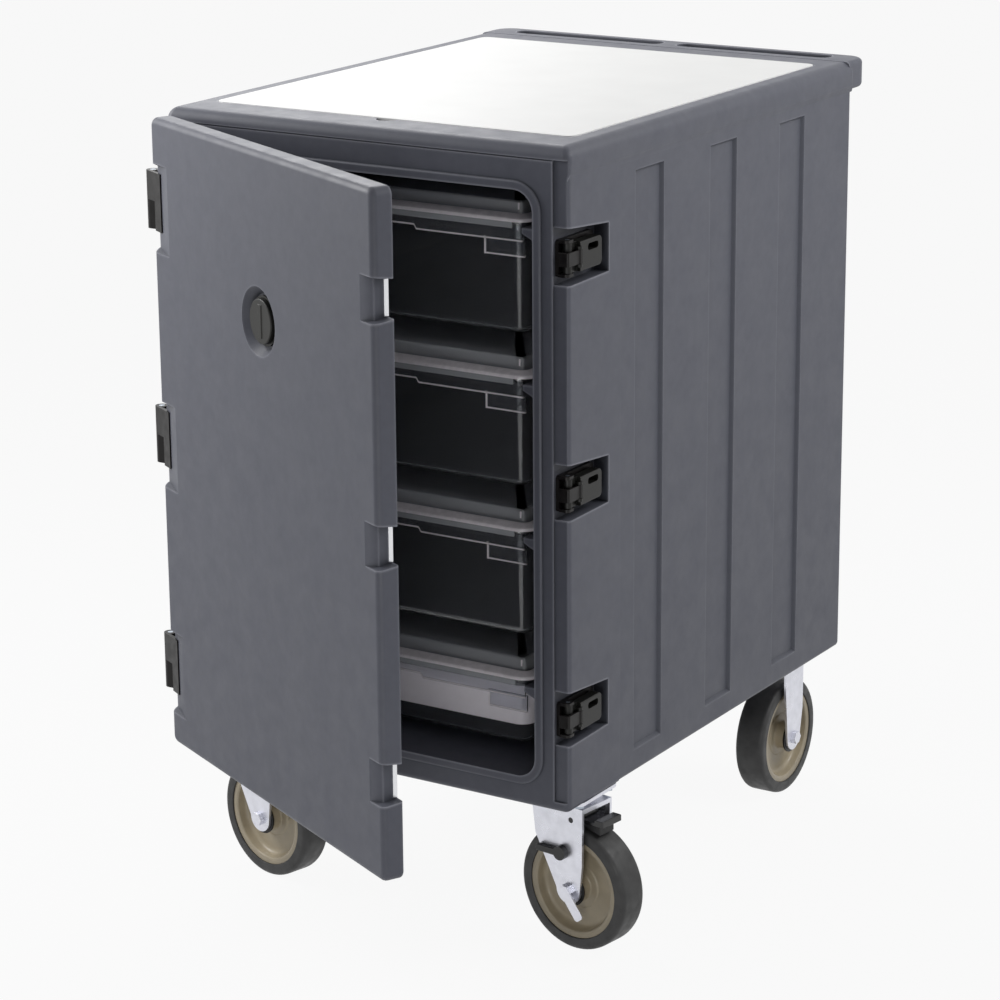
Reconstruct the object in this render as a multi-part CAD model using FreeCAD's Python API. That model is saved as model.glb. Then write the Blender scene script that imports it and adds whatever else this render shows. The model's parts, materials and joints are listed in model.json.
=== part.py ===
"""Insulated food storage cart: a foam-filled moulded cabinet on casters, with a side-hinged door
that stands ajar, draw latches, sliding food boxes with lids and a cutting board let into its top.

Millimetres. +Z up, the door faces -Y, the latches are at +X. The origin is the middle of the
cabinet's footprint, on the floor.
"""
import math
import os

import FreeCAD
import Part

V = FreeCAD.Vector
X_AXIS = V(1, 0, 0)
Y_AXIS = V(0, 1, 0)
Z_AXIS = V(0, 0, 1)

# Food boxes and lids, which the cabinet is built round
level_count = 4
box_width = 457.0
box_length = 660.0
deep_box_height = 152.0
shallow_box_height = 98.0
box_flange = 12.0
box_flange_thickness = 5.0
box_wall = 3.5
box_draft = 9.0
box_radius = 24.0
box_travel = 24.0
lid_plate = 4.0
lid_rise = 20.0
lid_inset = 18.0
lid_lean = 4.0
lid_skirt = 8.0
lid_skirt_wall = 2.5
lid_skirt_gap = 0.5

# Room round the boxes
rail_room = 36.5
rail_gap = 4.0
rail_pitch = 208.0
first_rail_drop = 59.0
last_rail_rise = 109.0
box_stop_gap = 1.0
box_rear_gap = 52.0

# Cabinet
floor_clearance = 224.0
skin = 5.0
side_wall = 50.0
rear_wall = 50.0
floor_wall = 42.0
roof_wall = 60.0
corner_radius = 10.0
top_radius = 16.0
bottom_radius = 8.0
cavity_radius = 28.0

# Front frame round the opening
lip_width = 12.0
lip_height = 4.0
strip_width = 22.0
strip_depth = 3.0
strip_foot = 14.0
front_band = 18.0
band_line_width = 2.0
band_line_depth = 1.5

# Cabinet sides
rim_band = 34.0
rim_slope = 10.0
rim_overhang = 2.0
latch_zone = 135.0
latch_zone_step = 2.0
latch_zone_slope = 5.0
flute_count = 3
flute_first = 176.0
flute_rear_margin = 151.0
flute_width = 76.0
flute_depth = 5.0
flute_draft = 4.0
flute_top_margin = 57.0
flute_foot_margin = 34.0

# Rear push handle, moulded with the cabinet
handle_reach = 50.0
handle_height = 42.0
handle_rise = 0.5
handle_corner = 30.0
handle_bar = 17.0
hand_slot_gap = 3.0
hand_slot_end = 46.0
hand_bridge = 26.0
handle_edge = 7.0

# Rails that carry the boxes
rail_lip = 8.0
rail_root = 30.0
rail_front_gap = 42.0
rail_rear_gap = 12.0

# Cutting board in the top
board_side_margin = 32.0
board_front_margin = 66.0
board_rear_margin = 58.0
board_thickness = 12.7
board_rise = 1.0
board_radius = 14.0
board_gap = 1.0
thumb_radius = 15.0

# Door
door_open_angle = 26.7
door_hinge_margin = 12.0
door_latch_margin = 8.0
door_top_drop = 7.0
door_foot_drop = 3.0
door_edge = 30.0
door_gap = 1.0
door_corner = 12.0
door_face_radius = 9.0
door_back_radius = 4.0
plug_depth = 20.0
plug_gap = 10.0
seal_groove_depth = 9.0
seal_groove_width = 26.0
seal_squeeze_gap = 0.3

# Hinges
hinge_count = 3
hinge_first_drop = 124.0
hinge_last_rise = 110.0
hinge_height = 80.0
hinge_out = 14.0
hinge_forward = 16.0
knuckle_radius = 9.0
hinge_pin_radius = 4.0
hinge_running_gap = 0.05
knuckle_gap = 0.4
leaf_thickness = 5.0
leaf_reach = 44.0
leaf_screw_reach = 26.4
leaf_screw_spacing = 61.3
leaf_screw_back = 2.0
leaf_cheek = 16.0
leaf_cheek_edge = 2.0
hinge_notch_width = 48.0
hinge_notch_depth = 10.0
hinge_notch_above = 4.0
hinge_notch_below = 17.0
hinge_notch_slope = 11.0

# Latches
latch_first_drop = 145.0
latch_last_rise = 128.0
latch_names = ("top", "middle", "bottom")
pocket_length = 104.0
pocket_height = 64.0
pocket_depth = 22.0
pocket_flare_up = 9.0
pocket_flare_down = 2.0
latch_base_thickness = 5.0
latch_base_start = 6.0
latch_base_length = 86.0
latch_base_height = 48.0
latch_ear = 4.0
latch_ear_length = 18.0
latch_pivot_out = 12.0
latch_pivot_back = 16.0
latch_pin_radius = 3.0
latch_running_gap = 0.05
lever_knuckle = 6.0
lever_length = 71.0
lever_thickness = 7.0
lever_side_gap = 0.5
lever_slot_length = 26.0
lever_slot_width = 9.0
lever_slot_inset = 6.0
lever_slot_end = 10.0
lever_edge = 2.0
hook_pivot_back = 32.0
hook_knuckle = 4.0
hook_pin_radius = 2.4
hook_side_room = 15.0
hook_thickness = 3.5
hook_nose_radius = 2.8
hook_clear = 0.5
hook_lug = 4.0
hook_tip_back = 2.0
hook_tip_drop = 16.0
latch_notch_width = 33.0
latch_notch_depth = 10.0
latch_notch_recess = 16.0
latch_notch_height = 50.0
latch_notch_slope = 4.0
keeper_thickness = 2.5
keeper_depth = 6.0
keeper_end_gap = 2.0
keeper_set_back = 1.0
keeper_stud_radius = 1.5
keeper_stud_length = 5.0
keeper_stud_inset = 8.0

# Door vent
vent_drop = 222.0
vent_dish_radius = 46.0
vent_dish_depth = 13.0
vent_dish_floor = 36.0
vent_seat_radius = 33.0
vent_seat_height = 4.0
vent_tube_radius = 12.0
vent_bore = 9.0
vent_cap_radius = 30.0
vent_cap_thickness = 6.0
vent_cap_gap = 0.4
vent_stem_radius = 4.0
vent_stem_gap = 0.05
vent_stem_length = 14.0
vent_boss_wall = 2.0
vent_bridge = 3.0
vent_grip_width = 8.0
vent_grip_height = 1.0

# Casters
wheel_radius = 89.0
tyre_width = 46.0
tyre_crown = 8.0
wheel_rim_radius = 72.0
wheel_rim_inner = 63.0
wheel_rim_width = 42.0
wheel_web = 12.0
hub_radius = 21.0
hub_width = 50.0
bearing_radius = 11.0
bearing_flange_radius = 24.0
bearing_flange = 2.6
axle_radius = 6.0
axle_running_gap = 0.05
fork_gap = 28.0
fork_sheet = 4.0
fork_eye = 20.0
leg_slant = 0.15
leg_shoulder = 0.42
fork_top_front = 32.0
fork_top_back = 56.0
rigid_leg_half = 29.0
crown_radius = 38.0
crown_thickness = 6.5
race_radius = 34.0
race_bore = 22.0
race_height = 8.0
race_gap = 0.2
swivel_lead = 31.0
front_caster_inset_x = 60.0
front_caster_inset_y = 90.0
rear_caster_inset_x = 74.0
rear_caster_inset_y = 70.0
right_swivel_angle = -8.0
left_swivel_angle = -14.0
plate_length = 112.0
plate_width = 98.0
plate_thickness = 5.0
plate_bolt_margin = 11.0
caster_bolt_radius = 4.0
caster_bolt_head = 7.5
caster_bolt_head_height = 5.0
caster_bolt_grip = 10.0
backing_thickness = 5.0
kingpin_radius = 6.0
kingpin_head_radius = 11.0
kingpin_head_height = 6.0
kingpin_gap = 0.05
nut_radius = 10.0
nut_height = 7.0

# Brake on the front right caster
pedal_pivot_back = 5.0
pedal_lift = 14.0
pedal_pin_radius = 4.0
pedal_pin_gap = 0.05
pedal_half_width = 20.0
pedal_thickness = 5.0
pedal_reach = 46.0
pedal_tread_height = 4.0
shoe_start = 13.0
shoe_length = 24.0
shoe_height = 8.0
shoe_slope = 6.0
cam_height = 54.0
cam_set_back = 9.0
cam_radius = 10.0
cam_arm = 40.0
cam_arm_width = 9.0
cam_arm_gap = 2.0
cam_thickness = 9.0
cam_pin_radius = 3.0
strap_length = 44.0
strap_width = 15.0
strap_thickness = 2.0
strap_angle = 52.0

# Screws
screw_radius = 2.5
screw_head_radius = 4.5
screw_head_height = 1.6
screw_grip = 9.0

# Places worked out from the driving dimensions
body_width = box_width + 2 * (rail_room + side_wall)
box_front_gap = plug_depth + box_travel + box_stop_gap + lid_skirt_gap + lid_skirt_wall
body_depth = box_front_gap + box_length + box_rear_gap + rear_wall
level_span = (level_count - 1) * rail_pitch
body_height = floor_wall + last_rail_rise + level_span + first_rail_drop + roof_wall
box_heights = [deep_box_height] * (level_count - 1) + [shallow_box_height]
half_width = body_width / 2
front_y = -body_depth / 2
rear_y = body_depth / 2
bottom_z = floor_clearance
top_z = floor_clearance + body_height
cavity_half = half_width - side_wall
cavity_floor = bottom_z + floor_wall
cavity_roof = top_z - roof_wall
cavity_rear = rear_y - rear_wall
door_left = -half_width + door_hinge_margin
door_right = half_width - door_latch_margin
door_back_y = front_y - door_gap
door_face_y = door_back_y - door_edge
door_top = top_z - door_top_drop
door_foot = bottom_z - door_foot_drop
door_middle = (door_left + door_right) / 2
pivot = V(-half_width - hinge_out, front_y - hinge_forward, 0)
pocket_floor = half_width - pocket_depth
latch_pivot = V(pocket_floor + latch_pivot_out, front_y + latch_pivot_back, 0)
lever_half = latch_base_height / 2 - latch_ear - lever_side_gap
hook_width = latch_base_height - 2 * hook_side_room
keeper_seat = door_right - latch_notch_recess
hook_pivot = V(latch_pivot.x + lever_knuckle + hook_clear + hook_thickness / 2,
               front_y + hook_pivot_back, 0)
vent_z = door_top - vent_drop
board_floor = top_z + board_rise - board_thickness
rail_tops = [cavity_roof - first_rail_drop - i * rail_pitch for i in range(level_count)]
rail_tip = box_width / 2 - box_flange + rail_gap
front_caster_x = half_width - front_caster_inset_x
front_caster_y = front_y + front_caster_inset_y
rear_caster_x = half_width - rear_caster_inset_x
rear_caster_y = rear_y - rear_caster_inset_y


# Shape helpers

def box(x0, x1, y0, y1, z0, z1):
    """Block between two corners."""
    return Part.makeBox(x1 - x0, y1 - y0, z1 - z0, V(x0, y0, z0))


def rod(start, axis, radius, length):
    """Round bar from a point along an axis."""
    return Part.makeCylinder(radius, length, start, axis)


def runs_along(edge, axis):
    """True for a straight edge that lies along the axis."""
    if not isinstance(edge.Curve, Part.Line):
        return False
    return abs(edge.tangentAt(edge.FirstParameter).dot(axis)) > 0.999


def rounded(shape, axis, radius):
    """Shape with every straight edge along the axis rounded."""
    return shape.makeFillet(radius, [e for e in shape.Edges if runs_along(e, axis)])


def prism(points, path):
    """Solid swept from a flat outline along a vector."""
    return Part.Face(Part.makePolygon(points + [points[0]])).extrude(path)


def prism_y(outline, y0, y1):
    """Solid swept along Y from (x, z) corners."""
    return prism([V(x, y0, z) for x, z in outline], V(0, y1 - y0, 0))


def prism_x(outline, x0, x1):
    """Solid swept along X from (y, z) corners."""
    return prism([V(x0, y, z) for y, z in outline], V(x1 - x0, 0, 0))


def joined(shapes):
    """One solid from overlapping or touching shapes."""
    first, rest = shapes[0], shapes[1:]
    return first.fuse(rest).removeSplitter() if rest else first


def turned(shape, angle, centre, axis=Z_AXIS):
    """Copy of a shape turned about a line."""
    copy = shape.copy()
    copy.rotate(centre, axis, angle)
    return copy


def moved(shape, x, y, z=0.0):
    """Copy of a shape moved to a place."""
    copy = shape.copy()
    copy.translate(V(x, y, z))
    return copy


def mirrored_x(shape):
    """Copy of a shape on the other side of the middle plane."""
    return shape.mirror(V(0, 0, 0), X_AXIS)


def spaced(first, last, count):
    """Evenly spaced values from first to last."""
    return [first + (last - first) * i / (count - 1) for i in range(count)]


def rounded_rectangle(half_x, y0, y1, z, radius):
    """Closed level outline with round corners."""
    outline = rounded(box(-half_x, half_x, y0, y1, z, z + 1), Z_AXIS, radius)
    lowest = min(outline.Faces, key=lambda face: face.CenterOfMass.z)
    return lowest.OuterWire


def tapered(half_x, y0, y1, z0, z1, draft, radius):
    """Tub-shaped solid, smaller at its foot by the draft on each side."""
    foot = rounded_rectangle(half_x - draft, y0 + draft, y1 - draft, z0, radius)
    head = rounded_rectangle(half_x, y0, y1, z1, radius)
    return Part.makeLoft([foot, head], True, True)


def hexagon(centre, radius, height):
    """Upright hexagonal head."""
    corners = [centre + V(radius * math.cos(math.radians(a)), radius * math.sin(math.radians(a)), 0)
               for a in range(0, 360, 60)]
    return prism(corners, V(0, 0, height))


def screw(seat, axis, grip=screw_grip):
    """Pan-head screw: its head stands on the seat, its shank goes the other way."""
    head = rod(seat, axis, screw_head_radius, screw_head_height)
    return joined([head, rod(seat, axis * -1, screw_radius, grip)])


# Cabinet

def cabinet_outside():
    """Outside of the moulded cabinet before its recesses are cut."""
    inner = half_width - latch_zone_step
    step = front_y + latch_zone
    right = [(half_width, front_y), (half_width, step), (inner, step + latch_zone_slope), (inner, rear_y)]
    plan = right + [(-x, y) for x, y in reversed(right)]
    trunk = prism([V(x, y, bottom_z) for x, y in plan], V(0, 0, body_height))
    trunk = trunk.makeFillet(corner_radius, [e for e in trunk.Edges if runs_along(e, Z_AXIS)
                                             and abs(abs(e.CenterOfMass.y) - rear_y) < 0.1])
    foot = [e for e in trunk.Edges if e.BoundBox.ZMax < bottom_z + 0.1]
    trunk = trunk.makeFillet(bottom_radius, foot)
    over = half_width + rim_overhang
    start = inner - 1
    half_rim = [(start, top_z - rim_band - rim_slope), (inner, top_z - rim_band - rim_slope),
                (over, top_z - rim_band), (over, top_z)]
    rim = prism_y(half_rim + [(-x, z) for x, z in reversed(half_rim)], front_y, rear_y)
    rim = rim.makeFillet(corner_radius - 1, [e for e in rim.Edges if runs_along(e, Z_AXIS)])
    whole = joined([trunk, rim])
    brow = [e for e in whole.Edges if e.BoundBox.ZMin > top_z - 0.1]
    return whole.makeFillet(top_radius, brow)


def push_handle():
    """Ledge along the rear edge with two long hand slots and a bridge between them."""
    back = rear_y + handle_reach
    ledge = box(-half_width, half_width, rear_y - 2 * handle_edge, back,
                top_z + handle_rise - handle_height, top_z + handle_rise)
    corners = [e for e in ledge.Edges if runs_along(e, Z_AXIS) and e.CenterOfMass.y > rear_y]
    ledge = ledge.makeFillet(handle_corner, corners)
    rims = [e for e in ledge.Edges
            if e.BoundBox.ZLength < 0.1 and e.BoundBox.YMax > rear_y]
    return ledge.makeFillet(handle_edge, rims)


def hand_slots():
    """The two through slots of the rear handle."""
    width = handle_reach - handle_bar - hand_slot_gap
    y0 = rear_y + hand_slot_gap
    x0 = hand_bridge / 2
    x1 = half_width - hand_slot_end
    slot = box(x0, x1, y0, y0 + width, top_z - 2 * handle_height, top_z + 2 * handle_rise)
    slot = rounded(slot, Z_AXIS, width / 2 - 1)
    return [slot, mirrored_x(slot)]


def flute_cutters():
    """Shallow upright panels sunk into both sides, with sloping edges."""
    floor = half_width - latch_zone_step - flute_depth
    outside = half_width + 1
    z0 = bottom_z + flute_foot_margin
    z1 = top_z - flute_top_margin
    spread = flute_draft * (outside - floor) / flute_depth
    cutters = []
    pitch = (body_depth - flute_first - flute_rear_margin - flute_width) / (flute_count - 1)
    for i in range(flute_count):
        y0 = front_y + flute_first + i * pitch
        y1 = y0 + flute_width
        inner = [V(floor, y0 + flute_draft, z0 + flute_draft), V(floor, y1 - flute_draft, z0 + flute_draft),
                 V(floor, y1 - flute_draft, z1 - flute_draft), V(floor, y0 + flute_draft, z1 - flute_draft)]
        grow = spread - flute_draft
        outer = [V(outside, y0 - grow, z0 - grow), V(outside, y1 + grow, z0 - grow),
                 V(outside, y1 + grow, z1 + grow), V(outside, y0 - grow, z1 + grow)]
        wires = [Part.makePolygon(points + [points[0]]) for points in (inner, outer)]
        right = Part.makeLoft(wires, True, True)
        cutters += [right, mirrored_x(right)]
    return cutters


def latch_pockets(margin=0.0):
    """Pockets in the right side, open to the front and a little taller there, for the latches."""
    y0 = front_y - 1
    y1 = front_y + pocket_length + margin
    half = pocket_height / 2 + margin
    below = half + pocket_flare_down
    above = half + pocket_flare_up
    outlines = [[(y0, z - below), (y1, z - half), (y1, z + half), (y0, z + above)] for z in latch_levels()]
    return [prism_x(outline, pocket_floor - margin, half_width + 1) for outline in outlines]


def cavity():
    """Space inside the cabinet."""
    room = box(-cavity_half, cavity_half, front_y - 2 * lip_height, cavity_rear, cavity_floor, cavity_roof)
    return rounded(room, Y_AXIS, cavity_radius)


def opening_lip():
    """Raised bead round the door opening."""
    bead = box(-cavity_half - lip_width, cavity_half + lip_width, front_y - lip_height, front_y + 1,
               cavity_floor - lip_width, cavity_roof + lip_width)
    bead = rounded(bead, Y_AXIS, cavity_radius + lip_width)
    front_rim = [e for e in bead.Edges if e.BoundBox.YMax < front_y - lip_height + 0.1]
    return bead.makeFillet(lip_height - 1, front_rim)


def rails():
    """Ledges welded to the side walls, that carry the boxes by their rims."""
    ledges = []
    root = cavity_half
    for top in rail_tops:
        outline = [(root, top), (rail_tip, top), (rail_tip, top - rail_lip), (root, top - rail_root)]
        right = prism_y(outline, front_y + rail_front_gap, cavity_rear - rail_rear_gap)
        ledges += [right, mirrored_x(right)]
    return ledges


def front_cutters():
    """Set-back strips down both front corners and the line under the top band."""
    cutters = []
    strip = box(half_width - strip_width, half_width + 1, front_y - 1, front_y + strip_depth,
                bottom_z + strip_foot, top_z - front_band)
    cutters += [strip, mirrored_x(strip)]
    line_top = top_z - front_band
    cutters.append(box(-half_width - 1, half_width + 1, front_y - 1, front_y + band_line_depth,
                       line_top - band_line_width, line_top))
    return cutters


def board_recess():
    """Seat of the cutting board, with a thumb notch at its front edge."""
    half = half_width - board_side_margin + board_gap
    y0 = front_y + board_front_margin - board_gap
    y1 = rear_y - board_rear_margin + board_gap
    seat = rounded(box(-half, half, y0, y1, board_floor, top_z + 1), Z_AXIS, board_radius + board_gap)
    thumb = rod(V(0, y0, board_floor), Z_AXIS, thumb_radius, board_thickness + 1)
    return joined([seat, thumb])


def caster_places():
    """Plan centres of the casters: front pair, then rear pair."""
    return [(-front_caster_x, front_caster_y), (front_caster_x, front_caster_y),
            (-rear_caster_x, rear_caster_y), (rear_caster_x, rear_caster_y)]


def plate_bolt_places(x, y):
    """Bolt centres of one caster plate."""
    dx = plate_length / 2 - plate_bolt_margin
    dy = plate_width / 2 - plate_bolt_margin
    return [(x + i * dx, y + j * dy) for i in (-1, 1) for j in (-1, 1)]


def bolt_holes():
    """Holes for the caster bolts through the cabinet's floor skin."""
    length = skin + backing_thickness + caster_bolt_grip
    return [rod(V(bx, by, bottom_z - 1), Z_AXIS, caster_bolt_radius, length + 1)
            for x, y in caster_places() for bx, by in plate_bolt_places(x, y)]


def caster_backing_plates():
    """Steel plates moulded into the floor, tapped for the caster bolts."""
    plates = []
    for x, y in caster_places():
        plate = box(x - plate_length / 2, x + plate_length / 2, y - plate_width / 2, y + plate_width / 2,
                    bottom_z + skin, bottom_z + skin + backing_thickness)
        edge = half_width - latch_zone_step - flute_depth - skin
        keep = box(-edge, edge, front_y + 2 * skin, rear_y - 2 * skin, bottom_z, top_z)
        holes = [rod(V(bx, by, bottom_z), Z_AXIS, caster_bolt_radius, 2 * (skin + backing_thickness))
                 for bx, by in plate_bolt_places(x, y)]
        plates.append(plate.common(keep).cut(holes))
    return plates


def foam_walls():
    """Foam core: five joined slabs inside the skin, clear of every recess."""
    outer = half_width - latch_zone_step - flute_depth - skin
    inner = cavity_half + skin
    y0 = front_y + skin + strip_depth
    y1 = rear_y - skin
    z0 = bottom_z + skin
    z1 = board_floor - skin
    right = box(inner, outer, y0, y1, z0, z1)
    slabs = [right, mirrored_x(right),
             box(-outer, outer, cavity_rear + skin, y1, z0, z1),
             box(-outer, outer, y0, y1, z0, cavity_floor - skin),
             box(-outer, outer, y0, y1, cavity_roof + skin, z1)]
    core = joined(slabs)
    return core.cut(latch_pockets(skin) + cabinet_screw_holes())


def cabinet_foam(core, plates):
    """Foam core with the room that the caster plates and bolts take."""
    return core.cut(plates + bolt_holes())


def cabinet_shell(core):
    """Moulded polyethylene cabinet: outer and inner skin in one piece, round the foam."""
    shell = joined([cabinet_outside(), push_handle(), opening_lip()])
    shell = shell.cut([cavity(), board_recess()] + hand_slots())
    shell = shell.cut(flute_cutters() + latch_pockets() + front_cutters())
    shell = shell.cut(bolt_holes() + cabinet_screw_holes())
    return shell.cut(core)


# Hinges

def hinge_levels():
    """Middle heights of the hinges."""
    return spaced(top_z - hinge_first_drop, bottom_z + hinge_last_rise, hinge_count)


def cabinet_leaf(z):
    """Hinge half on the cabinet: a plate on the left side with the lower knuckle."""
    half = hinge_height / 2
    side = -half_width
    plate = rounded(box(side - leaf_thickness, side, front_y + strip_depth + 1, front_y + leaf_reach,
                        z - half, z + half), X_AXIS, leaf_thickness)
    arm = box(side - leaf_thickness, side - 1, pivot.y, front_y + 2 * leaf_thickness, z - half,
              z - knuckle_gap / 2)
    web = box(pivot.x, side - 1, pivot.y - knuckle_radius, pivot.y + leaf_thickness, z - half,
              z - knuckle_gap / 2)
    knuckle = rod(V(pivot.x, pivot.y, z - half), Z_AXIS, knuckle_radius, half - knuckle_gap / 2)
    reach = rod(V(pivot.x, pivot.y, z - half), Z_AXIS, hinge_out, half)
    leaf = joined([plate, arm, knuckle, web.common(reach)])
    leaf = leaf.cut(rod(V(pivot.x, pivot.y, z - hinge_height), Z_AXIS, hinge_pin_radius, 2 * hinge_height))
    return leaf.cut([rod(V(side - 2 * leaf_thickness, y, h), X_AXIS, screw_radius, 3 * leaf_thickness)
                     for y, h in cabinet_leaf_screws(z)])


def cabinet_leaf_screws(z):
    """Screw places of one cabinet leaf, as (y, z)."""
    y = front_y + leaf_screw_reach
    return [(y, z + side * leaf_screw_spacing / 2) for side in (-1, 1)]


def door_leaf(z):
    """Hinge half on the door: a plate on the door's edge, a cheek in its notch and the upper knuckle."""
    half = hinge_height / 2
    side = door_left - leaf_thickness
    near = pivot.y - knuckle_radius
    plate = box(side, door_left, near, pivot.y + knuckle_radius, z - half, z + half)
    floor = door_face_y + hinge_notch_depth
    tip = door_left + leaf_cheek
    ramp = floor - hinge_notch_depth * leaf_cheek / hinge_notch_width
    outline = [(side, near), (tip, ramp - leaf_cheek_edge), (tip, ramp), (door_left, floor), (side, floor)]
    cheek = prism([V(x, y, z - half) for x, y in outline], V(0, 0, hinge_height))
    tongue = box(pivot.x, door_left, near, near + leaf_thickness, z + knuckle_gap / 2, z + half)
    knuckle = rod(V(pivot.x, pivot.y, z + knuckle_gap / 2), Z_AXIS, knuckle_radius, half - knuckle_gap / 2)
    bore = rod(V(pivot.x, pivot.y, z - half), Z_AXIS, hinge_pin_radius + hinge_running_gap, hinge_height)
    leaf = joined([plate, cheek, tongue, knuckle]).cut(bore)
    return leaf.cut([rod(V(side - 1, door_screw_y(), h), X_AXIS, screw_radius, leaf_thickness + 2)
                     for h in door_leaf_screws(z)])


def door_screw_y():
    """Y of the screws of the door leaves, behind the tongue."""
    return pivot.y + leaf_screw_back


def door_leaf_screws(z):
    """Screw heights of one door leaf."""
    return [z + side * leaf_screw_spacing / 2 for side in (-1, 1)]


def hinge_pin(z):
    """Pin through both knuckles, tight in the lower one."""
    return rod(V(pivot.x, pivot.y, z - hinge_height / 2), Z_AXIS, hinge_pin_radius, hinge_height)


def cabinet_screws():
    """Screws of the cabinet leaves and of the latch bases."""
    screws = []
    for z in hinge_levels():
        screws += [screw(V(-half_width - leaf_thickness, y, h), X_AXIS * -1, leaf_thickness + screw_grip)
                   for y, h in cabinet_leaf_screws(z)]
    seat = pocket_floor + latch_base_thickness
    for z in latch_levels():
        screws += [screw(V(seat, y, h), X_AXIS, latch_base_thickness + screw_grip)
                   for y, h in latch_base_screws(z)]
    return screws


def cabinet_screw_holes():
    """Holes that those screws cut in the cabinet."""
    deep = screw_grip
    holes = [rod(V(-half_width - 1, y, h), X_AXIS, screw_radius, deep + 1)
             for z in hinge_levels() for y, h in cabinet_leaf_screws(z)]
    holes += [rod(V(pocket_floor + 1, y, h), X_AXIS * -1, screw_radius, deep + 1)
              for z in latch_levels() for y, h in latch_base_screws(z)]
    return holes


def door_screws():
    """Screws of the door leaves, driven into the door's edge, with the door shut."""
    seat = door_left - leaf_thickness
    return [screw(V(seat, door_screw_y(), h), X_AXIS * -1, leaf_thickness + screw_grip)
            for z in hinge_levels() for h in door_leaf_screws(z)]


def door_screw_holes():
    """Holes in the door for those screws and for the studs of the keepers."""
    holes = [rod(V(door_left - 1, door_screw_y(), h), X_AXIS, screw_radius, screw_grip + 1)
             for z in hinge_levels() for h in door_leaf_screws(z)]
    holes += [rod(V(keeper_seat + 1, keeper_middle(), h), X_AXIS * -1, keeper_stud_radius,
                  keeper_stud_length + 1)
              for z in latch_levels() for h in keeper_studs(z)]
    return holes


# Latches

def latch_levels():
    """Middle heights of the latches."""
    return spaced(top_z - latch_first_drop, bottom_z + latch_last_rise, len(latch_names))


def latch_base_screws(z):
    """Screw places of one latch base, as (y, z)."""
    y = front_y + latch_base_start + latch_base_length
    return [(y - 2 * screw_head_radius, z - latch_base_height / 4),
            (y - 2 * screw_head_radius, z + latch_base_height / 4)]


def latch_base(z):
    """Base plate on the pocket's floor with two ears for the lever's pin."""
    y0 = front_y + latch_base_start
    half = latch_base_height / 2
    top = pocket_floor + latch_base_thickness
    plate = box(pocket_floor, top, y0, y0 + latch_base_length, z - half, z + half)
    plate = rounded(plate, X_AXIS, latch_ear)
    ears = []
    ear_y0 = latch_pivot.y - latch_ear_length / 2
    ear_top = latch_pivot.x + lever_knuckle
    for low in (z - half, z + half - latch_ear):
        ear = box(top - 1, ear_top, ear_y0, ear_y0 + latch_ear_length, low, low + latch_ear)
        crest = [e for e in ear.Edges if runs_along(e, Z_AXIS) and e.CenterOfMass.x > latch_pivot.x]
        ears.append(ear.makeFillet(lever_knuckle - 1, crest))
    base = joined([plate] + ears)
    base = base.cut(rod(V(latch_pivot.x, latch_pivot.y, z - half), Z_AXIS, latch_pin_radius, 2 * half))
    return base.cut([rod(V(pocket_floor - 1, y, h), X_AXIS, screw_radius, latch_base_thickness + 2)
                     for y, h in latch_base_screws(z)])


def latch_pin(z):
    """Pivot pin of one latch lever, tight in the ears."""
    half = latch_base_height / 2
    return rod(V(latch_pivot.x, latch_pivot.y, z - half), Z_AXIS, latch_pin_radius, 2 * half)


def latch_lever(z):
    """Lever that swings out on the base's pin, with lugs for the hook and a thick pad behind it."""
    px, py = latch_pivot.x, latch_pivot.y
    low, high = z - lever_half, z + lever_half
    tall = high - low
    hub = rod(V(px, py, low), Z_AXIS, lever_knuckle, tall)
    x0 = px - lever_thickness / 2
    x1 = hook_pivot.x + hook_thickness / 2
    y1 = py + lever_length
    arm = box(x0, x0 + lever_thickness, py, hook_pivot.y + 1, low, high)
    pad = box(x0, x1, hook_pivot.y, y1, low, high)
    pad = pad.makeFillet(lever_thickness, [e for e in pad.Edges if runs_along(e, X_AXIS)
                                           and e.CenterOfMass.y > y1 - 1])
    crown = [e for e in pad.Edges if e.BoundBox.XMin > x1 - 0.1 and e.BoundBox.YMax > hook_pivot.y + 1]
    pad = pad.makeFillet(lever_edge, crown)
    lug_low = hook_width / 2 + hook_clear
    lug_places = [z + side * (lug_low + hook_lug / 2) - hook_lug / 2 for side in (-1, 1)]
    lugs = [box(x0 + 1, hook_pivot.x, hook_pivot.y - hook_knuckle, hook_pivot.y + hook_knuckle,
                h, h + hook_lug) for h in lug_places]
    ends = [rod(V(hook_pivot.x, hook_pivot.y, h), Z_AXIS, hook_knuckle, hook_lug) for h in lug_places]
    lever = joined([hub, arm, pad] + lugs + ends)
    bed = box(x0 + lever_thickness - 2, x1 + hook_knuckle, py - lever_knuckle - 1,
              hook_pivot.y + hook_knuckle + hook_clear, z - lug_low, z + lug_low)
    slot_y = y1 - lever_slot_end - lever_slot_length
    slot_z = high - lever_slot_inset - lever_slot_width
    slot = box(x0 - 1, x1 + 1, slot_y, slot_y + lever_slot_length, slot_z, slot_z + lever_slot_width)
    slot = rounded(slot, X_AXIS, lever_slot_width / 2 - 0.5)
    eye = rod(V(px, py, low), Z_AXIS, latch_pin_radius + latch_running_gap, tall)
    pin_reach = lug_low + hook_lug
    pin_eye = rod(V(hook_pivot.x, hook_pivot.y, z - pin_reach), Z_AXIS, hook_pin_radius + latch_running_gap,
                  2 * pin_reach)
    saddle = bed.cut(rod(V(px, py, low), Z_AXIS, lever_knuckle, tall))
    return lever.cut([eye, saddle, slot, pin_eye])


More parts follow.
